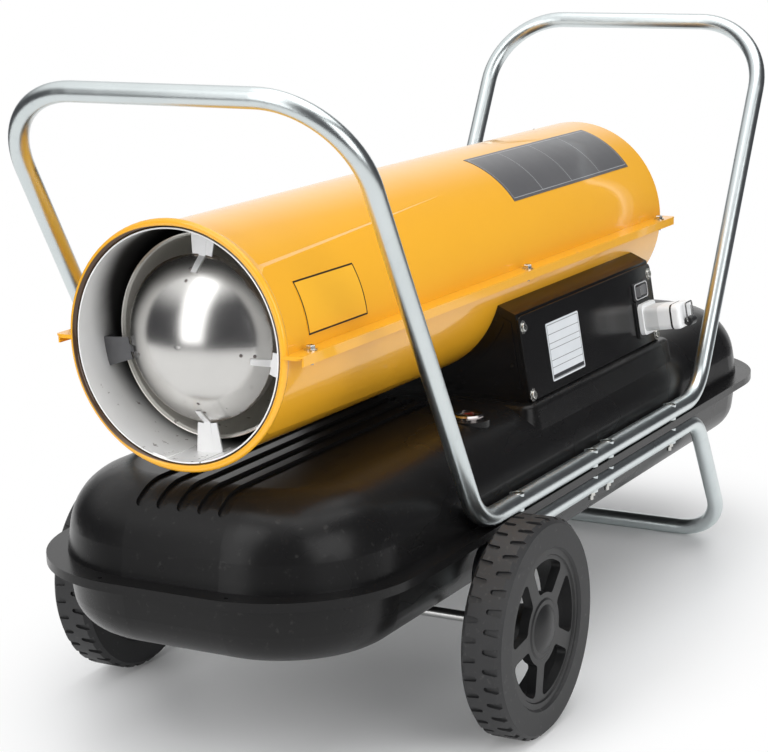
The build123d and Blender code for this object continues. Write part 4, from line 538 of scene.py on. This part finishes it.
grey_radius, grey_lowest, grey_highest = 0.1034, math.radians(36.5), math.radians(75.0)
grey_front, grey_back, grey_inset, grey_line = -0.016, 0.276, 0.003, 0.0006
grey_rules, grey_rule_line, grey_rule_fade = (0.055, 0.128, 0.201), 0.0005, 0.0005
grey_low, grey_high, grey_pale = (0.088, 0.088, 0.093), (0.118, 0.118, 0.124), (0.55, 0.55, 0.56)
grey = Finish("top_label", (0.10, 0.10, 0.105), 0.34, Coat_Weight=0.4, Coat_Roughness=0.1)
girth, along = around(grey, grey_radius)
low, high = grey_radius * grey_lowest, grey_radius * grey_highest
lines = frame_of(grey, girth, along, (low, high, grey_front, grey_back), grey_inset, grey_line)
within = band(grey, girth, low + grey_inset, high - grey_inset, grey_rule_fade)
for at in grey_rules:
    lines = lines.most(rule(grey, along, at, grey_rule_line) * within)
film = grey.blend(grey.noise(8.0), grey_low, grey_high)
grey.set(
    Base_Color=grey.blend(lines * 0.7, film, grey_pale),
    Roughness=0.30 + grey.noise(60.0) * 0.1,
)
grey.relief((lines, 0.00001), (grey.noise(420.0), 0.000008))
dress(grey, "top_label_plate")

# ---------------------------------------------------------------- outlet
# Stainless liner, chamber and domed baffle, browned by the heat near the rims; the
# liner grows darker deeper in and towards its top and has a painted shadow along its
# lapped seam, and the left bracket has painted shade; four brackets, spot-welded to the
# dome, hold it in the mouth.
# The seam line is a painted shadow of the lapped sheet's edge; the welds beside it are real marks.
seam_radius, seam_at, seam_width = 0.0977, -0.1339, 0.0010
lap_welds, lap_welds_at, lap_weld_size = (-0.4900, -0.4790, -0.4670), -0.1432, 0.0016
# The left span and grey give the left bracket painted shade; the deep span and black darken the
# liner further in.
painted_shade_left, deep_dark_span = (0.045, 0.060), (-0.476, -0.438)
painted_shade_grey, deep_dark_black, seam_shadow_weld_dark = (0.13, 0.13, 0.135), (0.030, 0.029, 0.028), (0.030, 0.026, 0.022)
straw_brown, spot_brown = (0.36, 0.25, 0.17), (0.13, 0.09, 0.07)


def seam_shadow_and_welds(finish):
    """1 on a painted shadow line along the liner's lapped seam, and on the three weld marks beside
    it.
    """
    girth, along = around(finish, seam_radius)
    shadow_and_welds = rule(finish, girth, seam_at, seam_width)
    beside = rule(finish, girth, lap_welds_at, lap_weld_size)
    for at in lap_welds:
        shadow_and_welds = shadow_and_welds.most(beside * rule(finish, along, at, lap_weld_size))
    return shadow_and_welds


def tinted(name, colour, roughness, brown_from, brown_to, stretch=None, shine=1.0, darkening=""):
    """Stainless, browned between two radii; on the left it gets painted shade, and deep in the
    barrel it darkens further in and towards its top, with a painted shadow line on the lapped seam.
    """
    finish = Finish(name, colour, roughness, Metallic=shine)
    x, y, z = finish.axes(finish.place)
    cloud, brush = finish.noise(21.0), finish.noise(620.0, 4.0, stretch)
    uneven = (cloud - 0.5) * 0.012
    heat = finish.step(off_axis(finish) + uneven, brown_from, brown_to)
    below = finish.step(barrel_height - z, 0.02, 0.06)
    spots = finish.step(finish.noise(120.0, 4.0), 0.66, 0.72) * below
    bare = finish.blend(cloud, finish.shade(0.9), finish.shade(1.08))
    if darkening == "left":
        # Painted shade: the brackets on the barrel's left side are coloured grey.
        bare = finish.blend(finish.step(0.0 - x, *painted_shade_left), bare, painted_shade_grey)
    elif darkening == "deep":
        # The liner turns near black deeper in the barrel and towards its top.
        depth = y + (z - barrel_height) * 0.30 + uneven
        bare = finish.blend(finish.step(depth, *deep_dark_span), bare, deep_dark_black)
        # Painted shadow along the lapped seam, together with the real weld marks, in dark grey.
        bare = finish.blend(seam_shadow_and_welds(finish) * 0.85, bare, seam_shadow_weld_dark)
    straw = finish.blend(heat * 0.75, bare, straw_brown)
    finish.set(
        Base_Color=finish.blend(spots * 0.6, straw, spot_brown),
        Roughness=roughness + (brush - 0.5) * 0.08 + heat * 0.10 + spots * 0.2,
    )
    finish.relief((brush, 0.000003), (cloud, 0.00002))
    return finish


long_brush, across_brush = (1.0, 0.1, 1.0), (1.0, 1.0, 0.3)
beyond = {"brown_from": 0.30, "brown_to": 0.31}
polished_dome = tinted("polished_dome", (0.68, 0.67, 0.65), 0.23, 0.0695, 0.0715)
dress(polished_dome, "dome_baffle")
bracket_steel = tinted(
    "bracket_steel", (0.95, 0.945, 0.94), 0.34, **beyond, stretch=across_brush,
    shine=0.55, darkening="left",
)
dress(bracket_steel, "baffle_brackets")
liner_steel = tinted(
    "liner_steel", (0.98, 0.97, 0.95), 0.40, **beyond, stretch=long_brush,
    shine=0.30, darkening="deep",
)
dress(liner_steel, "outlet_liner")
chamber_steel = tinted(
    "chamber_steel", (0.96, 0.92, 0.86), 0.34, 0.0875, 0.089, stretch=long_brush, shine=0.30
)
dress(chamber_steel, "combustion_chamber")
sheet_steel = metal("sheet_steel", (0.42, 0.41, 0.39), 0.42, grain=420.0, cloudy=0.25)
dress(sheet_steel, "chamber_back_plate", "burner_head", "motor_mount")


def repeat(piece, places):
    """Puts the piece at the first place and copies of it at the others, and joins them."""
    pieces = [piece]
    for _ in places[1:]:
        twin = piece.copy()
        twin.data = piece.data.copy()
        scene.collection.objects.link(twin)
        pieces.append(twin)
    for twin, place in zip(pieces, places):
        twin.matrix_world = place
    return gather(pieces)


dome_sphere, dome_tip = 0.09155, -0.490
dome_centre = Vector((0, dome_tip + dome_sphere, barrel_height))
bracket_angles, weld_swing, weld_reaches = (-12.0, 85.0, 191.0, 274.0), 4.5, (0.052, 0.061)
weld_radius, weld_rise = 0.0015, 0.0003
weld = start("uv_sphere", segments=20, ring_count=12, radius=weld_radius)
bpy.ops.transform.resize(value=(1.0, 1.0, weld_rise / weld_radius))
bpy.ops.object.mode_set(mode="OBJECT")
bpy.ops.object.shade_smooth()
weld_places = []
for bracket in bracket_angles:
    angle = math.radians(bracket + weld_swing)
    for reach in weld_reaches:
        lean = math.sqrt(dome_sphere**2 - reach**2)
        normal = Vector((reach * math.cos(angle), -lean, reach * math.sin(angle))) / dome_sphere
        turned = normal.to_track_quat("Z", "Y").to_matrix().to_4x4()
        weld_places.append(Matrix.Translation(dome_centre + normal * dome_sphere) @ turned)
weld_spots = metal("weld_spots", (0.22, 0.20, 0.19), 0.36, grain=900.0)
settle(repeat(weld, weld_places), "baffle_welds", weld_spots, "heater")

# ---------------------------------------------------------------- burner
# Brass nozzle and two porcelain electrodes in the sheet-steel head.
nozzle_brass = metal("nozzle_brass", (0.66, 0.47, 0.18), 0.28, grain=800.0)
dress(nozzle_brass, "nozzle")
porcelain = skin("porcelain", (0.74, 0.71, 0.64), 0.22, grain=900.0, depth=0.00001, vary=0.06)
dress(porcelain, "ignition_electrodes")

# ---------------------------------------------------------------- motor, fan and pump
# Enamelled motor with a turned shaft, cast fan, die-cast air pump and its foam filter.
motor_enamel = skin("motor_enamel", (0.045, 0.048, 0.052), 0.34, grain=600.0, depth=0.00003)
dress(motor_enamel, "motor_body")
dress(turned_bar, "motor_shaft")
fan_alloy = metal("fan_alloy", (0.58, 0.58, 0.57), 0.40, grain=380.0, depth=0.00001)
dress(fan_alloy, "fan")
cast_alloy = metal(
    "cast_alloy", (0.50, 0.50, 0.49), 0.48, grain=300.0, depth=0.00004, cloudy=0.22
)
dress(cast_alloy, "air_pump")
foam = skin("filter_foam", (0.060, 0.058, 0.055), 0.88, grain=420.0, depth=0.0005, vary=0.3)
dress(foam, "air_filter")

# ---------------------------------------------------------------- inlet guard
# Welded wire rings and spokes, bright zinc plate like the tubes, held by plated screws.
dress(tube, "inlet_guard")
dress(hardware, "guard_screws")

# ---------------------------------------------------------------- electrical pedestal
# Black moulded box with a screwed-on cover, a little glossier than the tank; toothed lock
# washers stand under the cover's screws.
cover_middle, cover_half_length = Vector((0.12725, 0.0794, 0.29825)), 0.1682
cover_set_back, cover_rise = 13.5, 84.5
screw_inset, screw_rows = 0.008, (-0.036, 0.031)
washer_radius, washer_hole, washer_sheet, washer_edge = 0.0060, 0.0045, 0.0006, 0.0001
washer_points, points_a_tooth, tooth_points, tooth, washer_gap = 40, 4, 2, 1.12, 0.00005

panel = skin(
    "pedestal_black", (0.0065, 0.0063, 0.0065), 0.18, grain=1600.0, depth=0.000006,
    dust=0.03, Specular_IOR_Level=0.34,
)
dress(panel, "control_pedestal", "control_cover")
dress(hardware, "cover_screws")
cover_lean = math.atan2(cover_set_back, cover_rise)
outwards = Vector((math.cos(cover_lean), 0, math.sin(cover_lean)))
upwards = Vector((-math.sin(cover_lean), 0, math.cos(cover_lean)))


def on_cover(along, up, out):
    """Frame on the cover's face: X along the heater, Y up the face, Z out of it, in metres."""
    turned = Matrix(((0, 1, 0), upwards, outwards)).transposed().to_4x4()
    middle = Vector((cover_middle.x, along, cover_middle.z))
    return Matrix.Translation(middle + upwards * up + outwards * out) @ turned


washer = start("circle", vertices=washer_points, radius=washer_hole)
bpy.ops.mesh.extrude_edges_move()
bpy.ops.transform.resize(value=(washer_radius / washer_hole,) * 3)
bpy.ops.object.mode_set(mode="OBJECT")
for point in washer.data.vertices:
    outer = point.co.length > (washer_hole + washer_radius) / 2
    if outer and point.index % points_a_tooth < tooth_points:
        point.co *= tooth
finish_with(washer, "SOLIDIFY", thickness=washer_sheet, offset=1.0)
finish_with(washer, "BEVEL", width=washer_edge, segments=1)
washer_places = [
    on_cover(cover_middle.y + end * (cover_half_length - screw_inset), row, washer_gap)
    for end in (-1, 1) for row in screw_rows
]
settle(repeat(washer, washer_places), "lock_washers", hardware, "heater")

# ---------------------------------------------------------------- rating plate
# Silver foil on the cover, printed with a thin dark frame, fine rules and one solid bar,
# and bare between them.
plate_along, plate_up, plate_half_length, plate_half_width = 0.006, -0.004, 0.039, 0.029
plate_inset, plate_line, plate_rule = 0.0018, 0.0006, 0.0003
plate_rules, rules_start, rules_end = (0.0175, 0.0085, 0.0025, -0.0085, -0.0155), -0.0312, 0.0432
bar_low, bar_high = -0.0265, -0.0226
foil_low, foil_high, foil_ink = (0.64, 0.67, 0.70), (0.76, 0.78, 0.80), (0.025, 0.026, 0.03)

foil = Finish("rating_foil", (0.62, 0.64, 0.66), 0.32)
_, along, height = foil.axes(foil.place)
up_face = (height - (cover_middle.z + upwards.z * plate_up)) / upwards.z
plate_bounds = (
    -plate_half_width, plate_half_width,
    plate_along - plate_half_length, plate_along + plate_half_length,
)
lines = frame_of(foil, up_face, along, plate_bounds, plate_inset, plate_line)
within = band(foil, along, rules_start, rules_end, print_blur)
for at in plate_rules:
    lines = lines.most(rule(foil, up_face, at, plate_rule) * within)
bar = band(foil, up_face, bar_low, bar_high, print_blur) * within
film = foil.blend(foil.noise(40.0), foil_low, foil_high)
foil.set(
    Base_Color=foil.blend(lines.most(bar), film, foil_ink),
    Roughness=0.26 + foil.noise(90.0) * 0.14,
)
foil.relief((foil.noise(500.0), 0.000006))
dress(foil, "rating_plate")

# ---------------------------------------------------------------- switch
# Rocker with the usual raised bar and ring for on and off, in a glossy snap-in frame with
# a pale moulded rim.
switch_along, switch_up, switch_out = 0.209, 0.0175, 0.0020
rim_length, rim_width, rim_corner, corner_steps = 0.0345, 0.0175, 0.004, 6
rim_wall, rim_height, rim_edge, rim_smooth = 0.0010, 0.0009, 0.0003, math.radians(40)

gloss = skin("switch_gloss", (0.030, 0.030, 0.032), 0.16, grain=1500.0, depth=0.000005)
dress(gloss, "switch_frame")
rocker_grey = skin("rocker_grey", (0.16, 0.16, 0.165), 0.20, grain=1500.0, depth=0.000005)
dress(rocker_grey, "switch_rocker")

loop = []
for quarter, (sign_x, sign_y) in enumerate(((1, 1), (-1, 1), (-1, -1), (1, -1))):
    for step in range(corner_steps + 1):
        angle = math.pi / 2 * (quarter + step / corner_steps)
        loop.append((
            sign_x * (rim_length / 2 - rim_corner) + rim_corner * math.cos(angle),
            sign_y * (rim_width / 2 - rim_corner) + rim_corner * math.sin(angle),
            0.0,
        ))
rim = start("circle", vertices=len(loop), radius=rim_width / 2)
bpy.ops.object.mode_set(mode="OBJECT")
for point, corner in zip(rim.data.vertices, loop):
    point.co = corner
bpy.ops.object.mode_set(mode="EDIT")
bpy.ops.mesh.select_all(action="SELECT")
bpy.ops.mesh.extrude_edges_move()
bpy.ops.transform.resize(value=(1 - 2 * rim_wall / rim_length, 1 - 2 * rim_wall / rim_width, 1.0))
bpy.ops.mesh.select_all(action="SELECT")
bpy.ops.mesh.normals_make_consistent(inside=False)
finish_with(rim, "SOLIDIFY", thickness=rim_height, offset=1.0)
finish_with(rim, "BEVEL", width=rim_edge, segments=3)
bpy.ops.object.shade_smooth_by_angle(angle=rim_smooth)
rim.matrix_world = on_cover(switch_along, switch_up, switch_out)
pale_rim = skin(
    "switch_rim_grey", (0.50, 0.50, 0.51), 0.18, grain=1500.0, depth=0.000005, vary=0.06
)
settle(rim, "switch_rim", pale_rim, "heater")

# ---------------------------------------------------------------- plug
# Pale moulded power plug over its black base, closed by a lid with a dark seal, with a
# black knob and a sprung wire bail at its end.
plug_along, plug_up, hood_out = 0.210, -0.0125, 0.003
hood_length, hood_width, hood_rise, hood_corner = 0.036, 0.026, 0.046, 0.006
lid_out, lid_skin, lid_edge, seal_gap, seal_skin = 0.0405, 0.0005, 0.004, 0.0022, 0.00025
hood_smooth, level_within = math.radians(35), 0.0001
duller_from, duller_to, duller_fade = 0.0079, 0.0244, 0.0004
pale_low, pale_high, pale_dull = (0.86, 0.865, 0.865), (0.92, 0.925, 0.925), (0.70, 0.705, 0.70)

pale = Finish("plug_pale", (0.78, 0.79, 0.79), 0.34)
x, _, z = pale.axes(pale.place)
cover_out = cover_middle.x * outwards.x + cover_middle.z * outwards.z
reach = x * outwards.x + z * outwards.z - cover_out
body = pale.blend(pale.noise(14.0), pale_low, pale_high)
duller = band(pale, reach, duller_from, duller_to, duller_fade)
pale.set(
    Base_Color=pale.blend(duller, body, pale_dull),
    Roughness=0.30 + pale.noise(80.0) * 0.12,
)
pale.relief((pale.noise(1200.0), 0.00001))
dress(pale, "connector_hood")
dress(black_plastic, "connector_base", "connector_knob")
spring_wire = metal("spring_wire", (0.34, 0.34, 0.34), 0.22, grain=900.0)
dress(spring_wire, "connector_bail")


def hood_ring(from_out, to_out, grow, rounded=0.0):
    """A rounded block round the plug's body, between two distances from the cover."""
    tall = to_out - from_out
    block = start("cube", size=1.0)
    bpy.ops.mesh.select_mode(type="EDGE")
    bpy.ops.transform.resize(value=(hood_length + 2 * grow, hood_width + 2 * grow, tall))
    bpy.ops.mesh.select_all(action="DESELECT")
    bpy.ops.object.mode_set(mode="OBJECT")
    for edge in block.data.edges:
        first, second = (block.data.vertices[index].co for index in edge.vertices)
        edge.select = abs(first.z - second.z) > level_within
    bpy.ops.object.mode_set(mode="EDIT")
    bpy.ops.mesh.bevel(offset=hood_corner + grow, segments=8)
    bpy.ops.mesh.select_all(action="DESELECT")
    bpy.ops.object.mode_set(mode="OBJECT")
    for edge in block.data.edges:
        heights = [block.data.vertices[index].co.z for index in edge.vertices]
        edge.select = min(heights) > tall / 2 - level_within
    if rounded:
        bpy.ops.object.mode_set(mode="EDIT")
        bpy.ops.mesh.bevel(offset=rounded, segments=6)
        bpy.ops.object.mode_set(mode="OBJECT")
    bpy.ops.object.shade_smooth_by_angle(angle=hood_smooth)
    block.matrix_world = on_cover(plug_along, plug_up, (from_out + to_out) / 2)
    return block


lid = hood_ring(lid_out, hood_out + hood_rise + lid_skin, lid_skin, lid_edge)
settle(lid, "plug_lid", pale, "plug")
seal = hood_ring(lid_out - seal_gap, lid_out, seal_skin)
settle(seal, "plug_lid_seal", rubber, "plug")

# ---------------------------------------------------------------- inside the pedestal
# Green circuit board, and the potted ignition transformer.
board_green = skin("board_green", (0.020, 0.115, 0.045), 0.34, grain=500.0, depth=0.00002)
dress(board_green, "control_board")
dress(black_plastic, "ignition_transformer")
